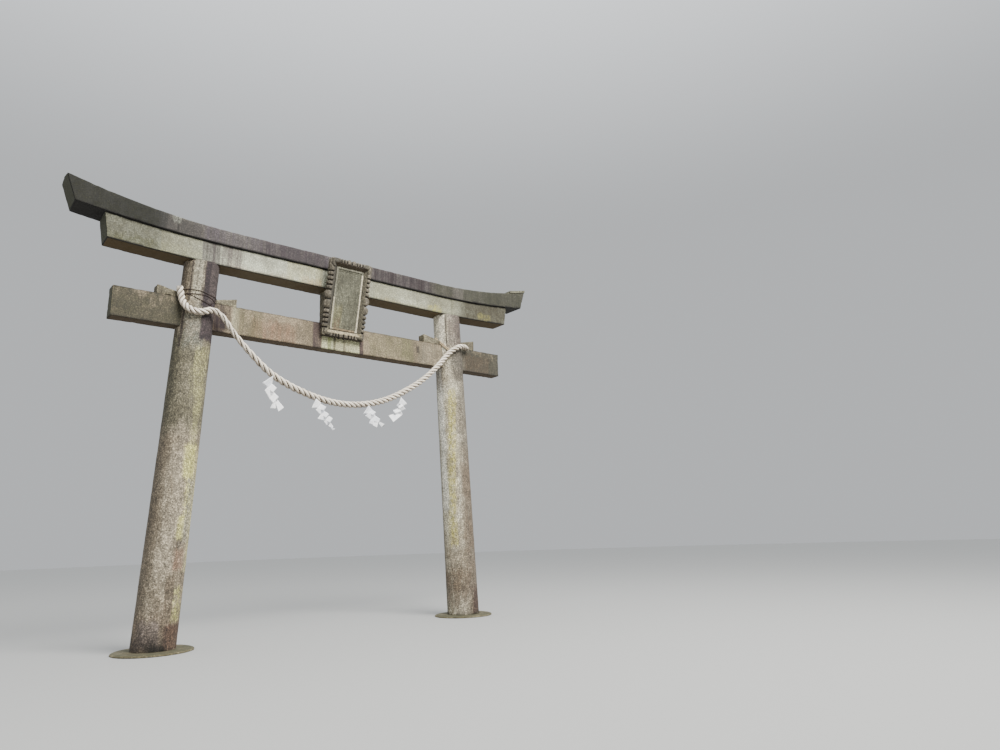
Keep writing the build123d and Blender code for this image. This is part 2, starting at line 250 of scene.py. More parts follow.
def smooth_line(points, step):
    """Evenly spaced points along the NURBS curve that these control points make."""
    curve = bpy.data.curves.new("line", "CURVE")
    curve.dimensions = "3D"
    curve.resolution_u = curve_resolution
    spline = curve.splines.new("NURBS")
    spline.points.add(len(points) - 1)
    for knot, point in zip(spline.points, points):
        knot.co = (*point, 1.0)
    spline.order_u = 3
    spline.use_endpoint_u = True
    bare = mesh_of_curve(curve)
    chain = [v.co.copy() for v in bare.vertices]
    bpy.data.meshes.remove(bare)
    return spaced_out(chain, step)


def spaced_out(chain, step):
    """The chain again, with its points one step apart and its two ends kept."""
    spans = [(b - a).length for a, b in zip(chain, chain[1:])]
    count = max(2, round(sum(spans) / step))
    wanted = [sum(spans) * i / count for i in range(count + 1)]
    out, walked, place = [], 0.0, 0
    for distance in wanted:
        while place < len(spans) - 1 and walked + spans[place] < distance:
            walked += spans[place]
            place += 1
        share = (distance - walked) / spans[place]
        out.append(chain[place].lerp(chain[place + 1], min(1.0, share)))
    return out


rope_line = smooth_line(rope_route, line_step)
rope_length = sum((b - a).length for a, b in zip(rope_line, rope_line[1:]))
print("rope line:", len(rope_line), "points,", round(rope_length, 3), "m long")

# %% [markdown]
# Across the line, each point needs two directions to measure from. Taking them afresh at each point
# makes them spin where the line turns, so they are carried along instead: each step keeps as much of
# the last direction as the new heading allows.

# %% Directions carried along a line
def carried_frames(line):
    """For each point: itself, its heading, and two directions across it that don't spin."""
    frames = []
    across = Vector((0, 0, 1))
    for i, point in enumerate(line):
        heading = (line[min(i + 1, len(line) - 1)] - line[max(i - 1, 0)]).normalized()
        across = (across - heading * across.dot(heading)).normalized()
        frames.append((point, heading, across, heading.cross(across)))
    return frames


def off_line(frame_here, angle, distance):
    """A place at this angle and distance from a point of a line."""
    point, heading, across, beside = frame_here
    return point + (across * math.cos(angle) + beside * math.sin(angle)) * distance


rope_frames = carried_frames(rope_line)
print("the carried direction ends at", [round(v, 2) for v in rope_frames[-1][2]])

# %% [markdown]
# Three strands of rice straw are laid round each other. Each strand is a curve that winds about the
# rope's line, with a round bevel, and turned into a mesh. A strand could also be swept ring by ring
# in a bmesh, but a bevelled curve already carries a UV map that runs along the strand, and the
# straw's fibres are painted on it. The rope is slack where it rests on the left pillar, then drawn
# thin with a long lay, and full again in the middle, so its lay and girth both follow its length.

# %% Strands
strand_count = 3
strand_radius = 0.0250
strand_distance = 0.0304
lay_stops = [
    (0.0, 0.215), (0.70, 0.225), (0.86, 0.40), (1.50, 0.40), (2.30, 0.30), (2.90, 0.265), (6.4, 0.260),
]
girth_stops = [
    (0.0, 0.88), (0.66, 0.92), (0.84, 0.74), (1.30, 0.72), (2.10, 0.98), (4.40, 0.98), (5.30, 0.88),
    (6.4, 0.86),
]


def by_stops(stops, at):
    """The value at this place, on straight lines between the stops."""
    for (low, first), (high, second) in zip(stops, stops[1:]):
        if at <= high:
            return first + (second - first) * max(0.0, at - low) / (high - low)
    return stops[-1][1]


def wound_angles():
    """How far the strands have turned at each point of the rope's line."""
    angles, angle = [], 0.0
    for i in range(len(rope_frames)):
        angles.append(angle)
        angle += math.tau * line_step / by_stops(lay_stops, i * line_step)
    return angles


winding = wound_angles()
girth = [by_stops(girth_stops, i * line_step) for i in range(len(rope_frames))]


def strand_line(number):
    """The path of one strand: a helix about the rope's line."""
    start = math.tau * number / strand_count
    return [
        off_line(here, start + turn, strand_distance * size)
        for here, turn, size in zip(rope_frames, winding, girth)
    ]


strand_lines = [strand_line(number) for number in range(strand_count)]
print("the strands turn", round(winding[-1] / math.tau, 1), "times along the rope")

# %% [markdown]
# Two helpers serve the rope and everything after it. The first lays round tubes along lines of
# points, as one bevelled curve, and gives its mesh. The second makes a mesh into a piece of the
# gate: an object with its material, which rides on the gate's one body and fills a material slot.

# %% Tubes and pieces
def curve_mesh(name, lines, radius, sides=4, radii=None):
    """A mesh of round tubes that follow these lines of points."""
    curve = bpy.data.curves.new(name, "CURVE")
    curve.dimensions = "3D"
    curve.bevel_depth = radius
    curve.bevel_resolution = sides
    curve.use_fill_caps = True
    for number, points in enumerate(lines):
        spline = curve.splines.new("POLY")
        spline.points.add(len(points) - 1)
        for i, point in enumerate(points):
            spline.points[i].co = (*point, 1.0)
            spline.points[i].radius = radii[number][i] if radii else 1.0
    mesh = mesh_of_curve(curve)
    mesh.name = name
    return mesh


def new_piece(name, mesh, material):
    """An object for this mesh, at the origin, with its material, riding on the gate."""
    piece = bpy.data.objects.new(name, mesh)
    bpy.context.collection.objects.link(piece)
    mesh.materials.clear()
    mesh.materials.append(material)
    mesh.polygons.foreach_set("use_smooth", [True] * len(mesh.polygons))
    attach(piece, BODY)
    return piece


print("a strand is", round(strand_radius * 2000), "mm thick where the girth is 1")

# %% [markdown]
# Straw rope is never smooth: stalks work loose all along it, and the cut ends fray. A loose stalk
# starts on the rope's surface, follows the lay for a little, and lifts off. These stalks stay within
# the thickness of the rope's own fuzz, so they are part of the same mesh.

# %% Loose stalks
stalk_radius = 0.0013
surface_radius = 0.0545
root_depth = 0.004
lay_followed = 0.6
loose_stalk_count = 420
random.seed(5)


def loose_stalk():
    """A short line that leaves the rope's surface and lifts a little."""
    first = random.randrange(4, len(rope_frames) - 12)
    length = random.randint(4, 8)
    angle = random.uniform(0.0, math.tau)
    lift = random.uniform(0.003, 0.014)
    bend = random.uniform(-0.6, 0.6)
    points = []
    for i in range(length + 1):
        here = rope_frames[min(first + i, len(rope_frames) - 1)]
        share = i / length
        turn = winding[min(first + i, len(winding) - 1)] - winding[first]
        out = (surface_radius - root_depth) * girth[min(first + i, len(girth) - 1)] + lift * share * share
        points.append(off_line(here, angle + turn * lay_followed + bend * share, out))
    return points


stalk_lines = [loose_stalk() for number in range(loose_stalk_count)]
all_lines = strand_lines + stalk_lines
stalk_share = stalk_radius / strand_radius
all_radii = [girth] * strand_count
all_radii += [[stalk_share * (1.0 - 0.5 * i / len(line)) for i in range(len(line))] for line in stalk_lines]
print("loose stalks:", len(stalk_lines))

# %% [markdown]
# Straw isn't one colour: each stalk has its own shade of cream. The strands' undersides and the grooves
# between the strands are painted darker, as painted shade. The stalks run along the strand, so the
# strand's UV map is squeezed across and drawn out along it, and soft noise turns into long fibres. The
# same fibres raise the surface a little.

# %% Straw
def straw_material():
    """Straw whose stalks run along a strand's UV map."""
    material, place = start_material("twisted_straw", uv=True)
    stalks = place.stretched(60.0, 22.0, 1.0).clouds(1.0)
    wear = place.stretched(9.0, 5.0, 1.0).moved(3.0, 1.0, 0.0).clouds(1.0, 2.0)
    tint = stalks.between(0.38, 0.62).mix((220, 204, 180), (252, 246, 232))
    tint = (wear.between(0.5, 0.75) * 0.5).mix(tint, (206, 186, 164))
    # Strand faces turned down are painted darker: painted shade.
    tint = (place.facing("Z").between(0.1, -0.9) * 0.75).mix(tint, (142, 126, 108))
    # Grooves between the strands, found by the AO node, are painted darker: painted shade.
    tint = place.openness(0.030).between(0.92, 0.50).mix(tint, (62, 48, 38))
    return finish_material(material, tint, 0.8, stalks, 0.004)


straw = straw_material()
rope_mesh = curve_mesh("twisted_rope", all_lines, strand_radius, radii=all_radii)
rope = new_piece("twisted_rope", rope_mesh, straw)
print("rope triangles:", sum(len(p.vertices) - 2 for p in rope_mesh.polygons))

# %% [markdown]
# Both ends are cut, not knotted. The right end has opened into a brush of straight stalks, and the
# left one is a blunt stump whose stalks stick out a little. Each brush is its own piece, and its
# stalks start inside the strands.

# %% Brushed ends
brush_radius = 0.040
brush_stalk_radius = 0.0026
brush_droop = 0.018
brush_stops = (0.0, 0.35, 0.7, 1.0)
brush_taper = [1.0, 1.0, 0.8, 0.4]


def brush_line(end, way, reach, spread, start_back):
    """One stalk of a brush, from inside the rope's end outwards; way is 1 along the line, else -1."""
    point, heading, across, beside = end
    angle, distance = random.uniform(0.0, math.tau), brush_radius * math.sqrt(random.random())
    side = across * math.cos(angle) + beside * math.sin(angle)
    length = reach * random.uniform(0.55, 1.0)
    droop = Vector((0.0, 0.0, -random.uniform(0.0, brush_droop)))
    points = []
    for share in brush_stops:
        along = heading * (way * (share * (length + start_back) - start_back))
        points.append(point + along + side * (distance * (1.0 + spread * share)) + droop * share * share)
    return points


def brush(name, end, way, count, reach, spread, start_back):
    lines = [brush_line(end, way, reach, spread, start_back) for number in range(count)]
    mesh = curve_mesh(name, lines, brush_stalk_radius, 1, [brush_taper] * count)
    return new_piece(name, mesh, straw)


right_brush = brush("rope_right_brush", rope_frames[-1], 1, 130, 0.085, 0.1, 0.06)
left_brush = brush("rope_left_brush", rope_frames[0], -1, 110, 0.022, 0.15, 0.03)
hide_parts("rope")
print("brushed ends:", right_brush.name, left_brush.name)

# %% [markdown]
# The streamers are strips of stiff white paper, cut part way through by turns and folded, so that
# squares step down from the rope like a lightning bolt. Flat cards would do from far off, but each
# fold faces its own way and catches its own light. So each fold has four corners, read off the
# photo: its top, left, bottom and right one, by their x and z in the plane where the paper hangs.

# %% The streamers' corners
streamer_folds = {
    "streamer_1": [
        [(-1.232, 3.803), (-1.399, 3.671), (-1.317, 3.608), (-1.241, 3.679)],
        [(-1.254, 3.681), (-1.327, 3.606), (-1.226, 3.541), (-1.172, 3.621)],
        [(-1.317, 3.608), (-1.354, 3.564), (-1.278, 3.442), (-1.205, 3.547)],
        [(-1.216, 3.553), (-1.289, 3.451), (-1.219, 3.379), (-1.136, 3.485)],
        [(-1.210, 3.404), (-1.261, 3.299), (-1.163, 3.299), (-1.178, 3.431)],
        [(-1.155, 3.445), (-1.185, 3.406), (-1.130, 3.264), (-1.046, 3.333)],
    ],
    "streamer_2": [
        [(-0.530, 3.522), (-0.601, 3.363), (-0.506, 3.374), (-0.442, 3.462)],
        [(-0.459, 3.449), (-0.518, 3.364), (-0.398, 3.343), (-0.352, 3.405)],
        [(-0.491, 3.377), (-0.531, 3.345), (-0.438, 3.263), (-0.383, 3.344)],
        [(-0.398, 3.348), (-0.458, 3.279), (-0.353, 3.234), (-0.306, 3.295)],
        [(-0.446, 3.277), (-0.499, 3.204), (-0.378, 3.183), (-0.338, 3.257)],
        [(-0.307, 3.269), (-0.375, 3.200), (-0.289, 3.159), (-0.241, 3.233)],
        [(-0.352, 3.206), (-0.388, 3.170), (-0.338, 3.107), (-0.293, 3.167)],
        [(-0.285, 3.168), (-0.318, 3.107), (-0.247, 3.068), (-0.227, 3.107)],
        [(-0.248, 3.087), (-0.269, 3.071), (-0.235, 3.036), (-0.187, 3.070)],
    ],
    "streamer_3": [
        [(0.402, 3.501), (0.298, 3.349), (0.411, 3.368), (0.459, 3.448)],
        [(0.450, 3.444), (0.379, 3.363), (0.484, 3.353), (0.538, 3.400)],
        [(0.425, 3.388), (0.333, 3.325), (0.438, 3.262), (0.525, 3.357)],
        [(0.509, 3.355), (0.432, 3.253), (0.591, 3.232), (0.618, 3.294)],
        [(0.440, 3.269), (0.408, 3.208), (0.486, 3.182), (0.573, 3.233)],
        [(0.503, 3.229), (0.466, 3.183), (0.556, 3.144), (0.581, 3.234)],
        [(0.608, 3.248), (0.593, 3.216), (0.644, 3.153), (0.709, 3.214)],
    ],
    "streamer_4": [
        [(1.024, 3.706), (0.981, 3.589), (1.064, 3.550), (1.144, 3.605)],
        [(0.994, 3.621), (0.932, 3.560), (0.999, 3.513), (1.074, 3.560)],
        [(1.067, 3.559), (0.965, 3.520), (1.021, 3.461), (1.119, 3.507)],
        [(0.971, 3.514), (0.859, 3.464), (0.903, 3.418), (1.029, 3.464)],
        [(1.023, 3.465), (0.903, 3.425), (0.928, 3.366), (1.060, 3.410)],
        [(0.913, 3.419), (0.780, 3.371), (0.872, 3.266), (1.048, 3.405)],
    ],
}
print("folds in each streamer:", [len(folds) for folds in streamer_folds.values()])

# %% [markdown]
# A fold is a small grid, drawn out to its four corners, leant to one side or the other and curled a
# little. It leans along the camera's line of sight, which keeps the seen outline. Solidify then
# makes each streamer as thick as paper.

# %% Folded paper
paper_thickness = 0.0012
paper_plane = -0.362
paper_steps = 6
paper_lean = 0.050
paper_curl = 0.012


def paper_material():
    material, place = start_material("folded_paper")
    tint = place.clouds(7.0).between(0.4, 0.7).mix((255, 255, 255), (226, 230, 238))
    return finish_material(material, tint, 0.55, place.clouds(22.0, 2.0), 0.002)


def in_sight(x, z, depth):
    """The place that the camera sees at this x and z, but so far behind the streamers' plane."""
    spot = Vector((x, paper_plane, z))
    return spot + (spot - eye) * (depth / (paper_plane - eye.y))


def paper_fold(shape, corners, turn):
    """A grid drawn out to four corners, top, left, bottom and right, and leant to one side."""
    made = bmesh.ops.create_grid(shape, x_segments=paper_steps, y_segments=paper_steps, size=0.5)
    top, left, bottom, right = (Vector((x, z)) for x, z in corners)
    for vert in made["verts"]:
        across, up = vert.co.x + 0.5, vert.co.y + 0.5
        spot = left.lerp(bottom, across).lerp(top.lerp(right, across), up)
        curl = paper_curl * math.sin(math.pi * across) * (up - 0.3)
        vert.co = in_sight(spot.x, spot.y, turn * (paper_lean * (across - 0.5) + curl))


def mesh_of_shape(name, shape):
    """The mesh that a bmesh makes, after which the bmesh itself is freed."""
    mesh = bpy.data.meshes.new(name)
    shape.to_mesh(mesh)
    shape.free()
    return mesh


def streamer(name, folds, material):
    shape = bmesh.new()
    for number, corners in enumerate(folds):
        paper_fold(shape, corners, 1.0 if number % 2 == 0 else -1.0)
    bmesh.ops.solidify(shape, geom=shape.faces[:], thickness=paper_thickness)
    bmesh.ops.recalc_face_normals(shape, faces=shape.faces[:])
    piece = new_piece("paper_" + name, mesh_of_shape(name, shape), material)
    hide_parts(name)
    return piece


paper = paper_material()
for name, folds in streamer_folds.items():
    made = streamer(name, folds, paper)
    print(made.name, "area", round(sum(p.area for p in made.data.polygons) / 2, 4), "m2")

# %% [markdown]
# Thin cords lash the rope's ends to the pillars. Each follows a few guide points round the stone, as
# a bevelled curve. The guide points are given, and each point of the cord is then pulled onto
# the pillar's surface, so that a cord neither floats nor sinks in.

# %% Thin ties
tie_step = 0.02
tie_lines = {
    "left_tie": [
        [(-2.517, -0.116, 4.982), (-2.461, -0.191, 4.973), (-2.403, -0.231, 4.967), (-2.294, -0.259, 4.954),
         (-2.197, -0.242, 4.919), (-2.091, -0.168, 4.925), (-2.030, -0.077, 4.929)],
        [(-2.496, -0.156, 4.921), (-2.422, -0.224, 4.869), (-2.332, -0.257, 4.824), (-2.210, -0.245, 4.781),
         (-2.144, -0.211, 4.774)],
        [(-2.510, -0.130, 4.905), (-2.430, -0.218, 4.905), (-2.332, -0.257, 4.900), (-2.230, -0.250, 4.905),
         (-2.110, -0.180, 4.860), (-2.050, -0.102, 4.840)],
        [(-2.172, -0.229, 4.787), (-2.120, -0.194, 4.830), (-2.050, -0.102, 4.910)],
    ],
    "right_tie": [
        [(2.026, 0.040, 5.020), (2.040, -0.060, 4.945), (2.080, -0.150, 4.860), (2.130, -0.200, 4.790),
         (2.190, -0.238, 4.726), (2.225, -0.250, 4.690)],
        [(2.026, 0.040, 4.990), (2.040, -0.060, 4.915), (2.080, -0.150, 4.828), (2.130, -0.200, 4.760),
         (2.185, -0.236, 4.700)],
    ],
}


def on_stone(line, stone_name, lift):
    """The line again, with each point brought to this height above the stone's surface."""
    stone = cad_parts[stone_name]
    out = []
    for point in line:
        spot, normal = stone.closest_point_on_mesh(point)[1:3]
        out.append(spot + normal * lift)
    return out


def tie_material(name, tone, shadow):
    material, place = start_material(name)
    tint = place.clouds(90.0).between(0.35, 0.65).mix(tone, shadow)
    return finish_material(material, tint, 0.85, place.clouds(400.0), 0.001)


tie_finish = {
    "left_tie": (0.0052, tie_material("dark_cord", (58, 42, 38), (34, 26, 24))),
    "right_tie": (0.0100, tie_material("tan_cord", (206, 188, 156), (150, 130, 102))),
}
for name, guides in tie_lines.items():
    radius, finish = tie_finish[name]
    pillar = name.replace("tie", "pillar")
    laid = [on_stone(smooth_line(guide, tie_step), pillar, radius) for guide in guides]
    tie = new_piece("lashing_" + name, curve_mesh(name, laid, radius, 2), finish)
    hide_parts(name)
print("lashings made:", list(tie_lines))

# %% [markdown]
# Old granite has no sharp edges and no true planes. The stone could be sculpted by hand, but the
# same few steps suit every block. The first ones copy the imported shape, round its sharp edges with a
# bevel, and cut it into a mesh of small faces by parallel planes. Edges that lie in a joint between
# two stones stay sharp, so that the joint stays closed. Two named attributes go along to the
# material: how far a corner lies on an edge, and how dark it is painted, in a carved groove or on a
# marked edge, as dirt and painted shade.

# %% Rounding and cutting a stone
weld_reach = 0.00002
flat_degrees = 0.2
sharp_degrees = 35.0
joint_reach = 0.001
cut_reach = 0.0001
coarse_steps = (0.035, 0.035, 0.035)


def is_sharp(edge):
    return edge.is_manifold and edge.calc_face_angle(0.0) > math.radians(sharp_degrees)


def at_joint(vert, flush):
    return any(abs(vert.co.x - place) < joint_reach for place in flush)


def rounded_copy(name, edge, segments=2, flush=()):
    """A copy of a packed stone in a bmesh, its sharp edges bevelled and marked as worn."""
    shape = bmesh.new()
    shape.from_mesh(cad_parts[name].data)
    bmesh.ops.remove_doubles(shape, verts=shape.verts, dist=weld_reach)
    flat = math.radians(flat_degrees)
    bmesh.ops.dissolve_limit(shape, angle_limit=flat, verts=shape.verts, edges=shape.edges)
    shape.verts.layers.float.new("edge")
    shape.verts.layers.float.new("groove")
    worn = shape.faces.layers.int.new("worn")
    rounded = bmesh.ops.bevel(
        shape,
        geom=[e for e in shape.edges if is_sharp(e) and not all(at_joint(v, flush) for v in e.verts)],
        offset=edge,
        offset_type="OFFSET",
        segments=segments,
        profile=0.5,
        affect="EDGES",
        clamp_overlap=True,
        material=-1,
    )
    for face in rounded["faces"]:
        face[worn] = 1
    return shape, worn


def cut_in_steps(shape, steps):
    """Cuts the shape by planes across each axis, one step apart."""
    for number, step in enumerate(steps):
        if not step:
            continue
        along = [1.0 if k == number else 0.0 for k in range(3)]
        low = min(v.co[number] for v in shape.verts)
        high = max(v.co[number] for v in shape.verts)
        count = int((high - low) / step)
        for i in range(1, count + 1):
            at = [share * (low + (high - low) * i / (count + 1)) for share in along]
            everything = shape.verts[:] + shape.edges[:] + shape.faces[:]
            bmesh.ops.bisect_plane(shape, geom=everything, dist=cut_reach, plane_co=at, plane_no=along)


def split_large_faces(shape):
    bmesh.ops.triangulate(shape, faces=[f for f in shape.faces if len(f.verts) > 4])


print("a large stone is cut every", coarse_steps[0], "m")

# %% [markdown]
# Then each corner moves in or out a little by noise. The rounded edges are moved inwards more, which
# leaves the chips that years of frost make. A stone's foot stays on the ground, and a face in a joint
# moves only within its own plane. A Displace modifier would be quicker, but it would move those too.
# The same loop marks rounded edges that face down or up to be painted dark, where a stone calls for it: dirt
# and painted shade.

# %% Wearing a stone
ground_reach = 0.0005
least_tilt = 0.12
wave_scale = 6.0
bite_scale = 16.0
bite_floor = 0.05
clean = (0.0, 0.0)


def wear_down(shape, worn, rough, chips, flush=(), edge_dirt_and_shade=clean):
    """Moves each corner by noise, and those on rounded edges inwards as well."""
    shape.normal_update()
    edge = shape.verts.layers.float["edge"]
    groove = shape.verts.layers.float["groove"]
    for vert in shape.verts:
        on_edge = sum(1 for face in vert.link_faces if face[worn]) / max(1, len(vert.link_faces))
        vert[edge] = on_edge
        # Rounded edges facing down or up are marked for black: dirt and painted shade.
        if on_edge and abs(vert.normal.z) > least_tilt:
            vert[groove] = edge_dirt_and_shade[0] if vert.normal.z < 0.0 else edge_dirt_and_shade[1]
        if vert.co.z < ground_reach:
            continue
        wave = noise.fractal(vert.co * wave_scale, 0.8, 2.0, 4)
        bite = max(0.0, noise.noise(vert.co * bite_scale) - bite_floor)
        push = vert.normal.copy()
        if at_joint(vert, flush):
            push.x = 0.0
        vert.co += push * (rough * wave - chips * bite * on_edge)


def finished_stone(name, shape, material):
    """The stone's object, made from its bmesh."""
    stone = new_piece("worn_" + name, mesh_of_shape(name, shape), material)
    stone.modifiers.new("weighted_normals", "WEIGHTED_NORMAL")
    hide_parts(name)
    return stone


def worn_stone(
    name, material, steps=coarse_steps, edge=0.009, rough=0.0022, chips=0.016, flush=(), edge_dirt_and_shade=clean
):
    """A stone copied from the frame; flush are its joints, the last pair the dirt and painted shade on its
    low and high edges.
    """
    shape, worn = rounded_copy(name, edge, flush=flush)
    cut_in_steps(shape, steps)
    split_large_faces(shape)
    wear_down(shape, worn, rough, chips, flush, edge_dirt_and_shade)
    return finished_stone(name, shape, material)


print("the noise makes waves about", round(100 / wave_scale), "cm long")

# %% [markdown]
# Granite is pale feldspar, grey quartz and black mica, so close to it the colour changes every few
# millimetres, and the rain has drawn dark streaks down it. One recipe makes them all: broad patches,
# streaks, which are noise drawn out along the height, mottling, and specks both pale and dark. The
# undersides are painted dark brown as painted shade, the tops grow dark, rounded edges are paler as
# worn stone and as a painted highlight, and crevices are painted darker as painted shade. Where a
# stone asks for it, its end faces are darker with algae and painted shade. Each stone adds its own
# stains, as ragged patches at the places where the photo shows them; a few of them are painted shade.

# %% Granite
# Undersides are painted this dark brown: painted shade.
underside_shade = (56, 47, 33)
top_face = (66, 66, 48)
# End faces: algae and painted shade.
end_algae_and_shade = (62, 62, 46)
# Dark for the pits of mica, and for crevices as painted shade.
grime_and_shade = (31, 26, 22)
# Black for marked grooves and edges: dirt and painted shade.
black_dirt_and_shade = (20, 17, 14)


def within(value, low, high, soft):
    """A mask that is 1 while the value lies between two others, with soft ends."""
    return value.between(low - soft, low + soft) * value.between(high + soft, high - soft)


def runs(place, across, along, seed=0.0):
    """Noise drawn out along the height, as rain draws it."""
    return place.stretched(across, across, along).moved(seed, seed, seed).clouds(1.0, 4.0, 0.7)


def spots(place, seed, broken):
    """Breaks a stain up into spots, as lichen grows; 0 leaves it whole and 1 leaves only spots."""
    grown = place.stretched(1.0, 1.0, 0.7).moved(seed, 0.0, 0.0).clouds(24.0, 4.0, 0.7)
    return grown.between(0.44, 0.56) * broken + (1.0 - broken)


def mark(place, x, z, strength, ragged=0.12, drawn=0.0, broken=0.0, soft=0.0):
    """A stain between two places along x and two heights, drawn out in streaks or broken up in spots."""
    across = place.axis("X") + (runs(place, 11.0, 1.5, x[0]) - 0.5) * (ragged * 2.0)
    height = place.axis("Z") + (runs(place, 14.0, 5.0, z[0]) - 0.5) * (ragged * 3.0)
    whole = within(across, *x, ragged * 0.4 + soft) * within(height, *z, ragged * 0.5) * strength
    if drawn:
        whole = whole * (runs(place, 20.0, 1.0, z[1]).between(0.42, 0.6) * drawn + (1.0 - drawn))
    return whole * spots(place, x[0], broken) if broken else whole


def granite(
    name, pale, middle, streak, stains_and_shade=(), mark_by=mark,
    seed=0.0, wet=0.6, grain=1.0, ends=0.0, shade_below=underside_shade, streaky=1.0,
):
    """A granite from its two main tints, the tint of its rain streaks, and its own stains and painted shade.
    """
    material, place = start_material(name)
    here = place.moved(seed, seed * 0.7, seed * 1.3)
    up = place.facing("Z")
    patches = here.clouds(2.4, 5.0, 0.65)
    mottling = here.clouds(13.0, 6.0, 0.75)
    specks = here.clouds(52.0, 3.0, 0.65)
    blots = here.moved(5.0, 5.0, 5.0).clouds(34.0, 3.0, 0.6)
    pits = here.cells(30.0)
    fine_runs = runs(here, 42.0, 5.0, 3.0)
    lined = grain * streaky

    tint = patches.between(0.38, 0.62).mix(middle, pale)
    tint = (runs(here, 15.0, 0.8).between(0.48, 0.64) * (wet * streaky)).mix(tint, streak)
    for *where, stain in stains_and_shade:
        tint = mark_by(place, *where).mix(tint, stain)
    tint = tint.shaded(mottling.between(0.34, 0.66) * (0.36 * grain) + (1.0 - 0.18 * grain))
    tint = tint.shaded(fine_runs.between(0.34, 0.66) * (0.4 * lined) + (1.0 - 0.2 * lined))
    tint = (blots.between(0.45, 0.35) * (0.6 * grain)).mix(tint, tint.shaded(0.5))
    tint = (specks.between(0.52, 0.60) * (0.8 * grain)).mix(tint, tint.shaded(2.1))
    tint = (pits.between(0.26, 0.14) * (0.5 * grain)).mix(tint, grime_and_shade)
    # Rounded edges are painted paler: worn stone and a painted highlight.
    tint = (place.attribute("edge") * 0.5).mix(tint, tint.shaded(1.5))
    # Faces turned down take the underside tint: painted shade.
    tint = (up.between(-0.5, -0.85) * 0.94).mix(tint, shade_below)
    tint = (up.between(0.7, 0.95) * here.clouds(5.0).between(0.3, 0.6) * 0.75).mix(tint, top_face)
    # Faces turned along x are darkened: algae and painted shade.
    if ends:
        sideways = place.facing("X")
        tint = ((sideways * sideways).between(0.45, 0.85) * ends).mix(tint, end_algae_and_shade)
    # Crevices found by the AO node are painted darker: painted shade.
    tint = (place.openness(0.10).between(0.8, 0.35) * 0.75).mix(tint, grime_and_shade)
    # Marked grooves and edges are painted black: dirt and painted shade.
    tint = (place.attribute("groove") * 0.92).mix(tint, black_dirt_and_shade)
    roughness = mottling.between(0.3, 0.7) * 0.12 + 0.82
    return finish_material(material, tint, roughness, mottling * 0.5 + specks * 0.5, 0.005, 0.9)


print("a plain stone's underside has the tint", underside_shade)

# %% [markdown]
# The two pillars have weathered apart. The left one is purple down its right side from the lintel to
# the tie beam, then yellow with lichen. The right one is paler, with one plumb band of lichen, which
# starts right of its middle and ends left of it, because the pillar leans and rain doesn't. A stain
# is placed by its height, and by how far across the pillar it is seen from the camera: -1 is the
# left outline and 1 the right one. Round the back the same stains are fainter.

# %% Marks on a pillar
pillar_top = max(v.co.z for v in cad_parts["left_pillar"].data.vertices)
lean_slope = math.tan(math.radians(2.93))
pillar_foot_x = 2.540
pillar_middle_x = 2.410
pillar_radius = 0.260


def seen_across(place, side):
    """How far across a pillar a spot is seen, from -1 left to 1 right, and how far it is turned away."""
    sight = Vector((side * pillar_middle_x - eye.x, -eye.y, 0.0)).normalized()
    from_axis = place.axis("X") - side * pillar_foot_x + place.axis("Z") * (side * lean_slope)
    across = (from_axis * sight.y - place.axis("Y") * sight.x) * (1.0 / pillar_radius)
    return across, (from_axis * sight.x + place.axis("Y") * sight.y) * (1.0 / pillar_radius)


def pillar_marks(side):
    """Marks for the left pillar, -1, or the right one, 1."""

    def pillar_mark(place, heights, sides, strength, ragged=0.15, broken=0.0, soft=0.12, plumb=0.0):
        """A stain between two heights and two places across; plumb makes it drift with the lean."""
        tall = place.axis("Z")
        across, away = seen_across(place, side)
        across = across + (runs(place, 16.0, 2.0, heights[0]) - 0.5) * (ragged * 8.0)
        across = across + (tall - heights[1]) * (-plumb)
        height = tall + (runs(place, 16.0, 4.0, heights[1]) - 0.5) * (ragged * 3.0)
        whole = within(across, *sides, soft) * within(height, *heights, ragged * 0.6) * strength
        whole = whole * (away.between(0.5, 0.0) * 0.65 + 0.35)
        return whole * spots(place, heights[0], broken) if broken else whole

    return pillar_mark


print("the pillars' heads lean in by", round(lean_slope * pillar_top, 2), "m")

# %% [markdown]
# Each pillar gets its stains from a table, and a later stain lies over the earlier ones. A few rows
# are painted shade instead of stains, marked where they stand. A texture could be painted instead, but a
# table keeps each stain as one line that can be moved or taken out.

# %% The left pillar's stains
whole_pillar = (0.0, 5.6)
# Painted shade for a pillar's left outline.
left_edge_shade = (72, 64, 54)
rain_dark = (46, 40, 37)
rain_pale = (146, 142, 124)
bright_lichen = (170, 166, 100)
lichen = (142, 138, 94)
purple = (43, 35, 40)
rust_red = (112, 84, 68)
foot_brown = (84, 72, 60)
black_moss = (22, 21, 18)
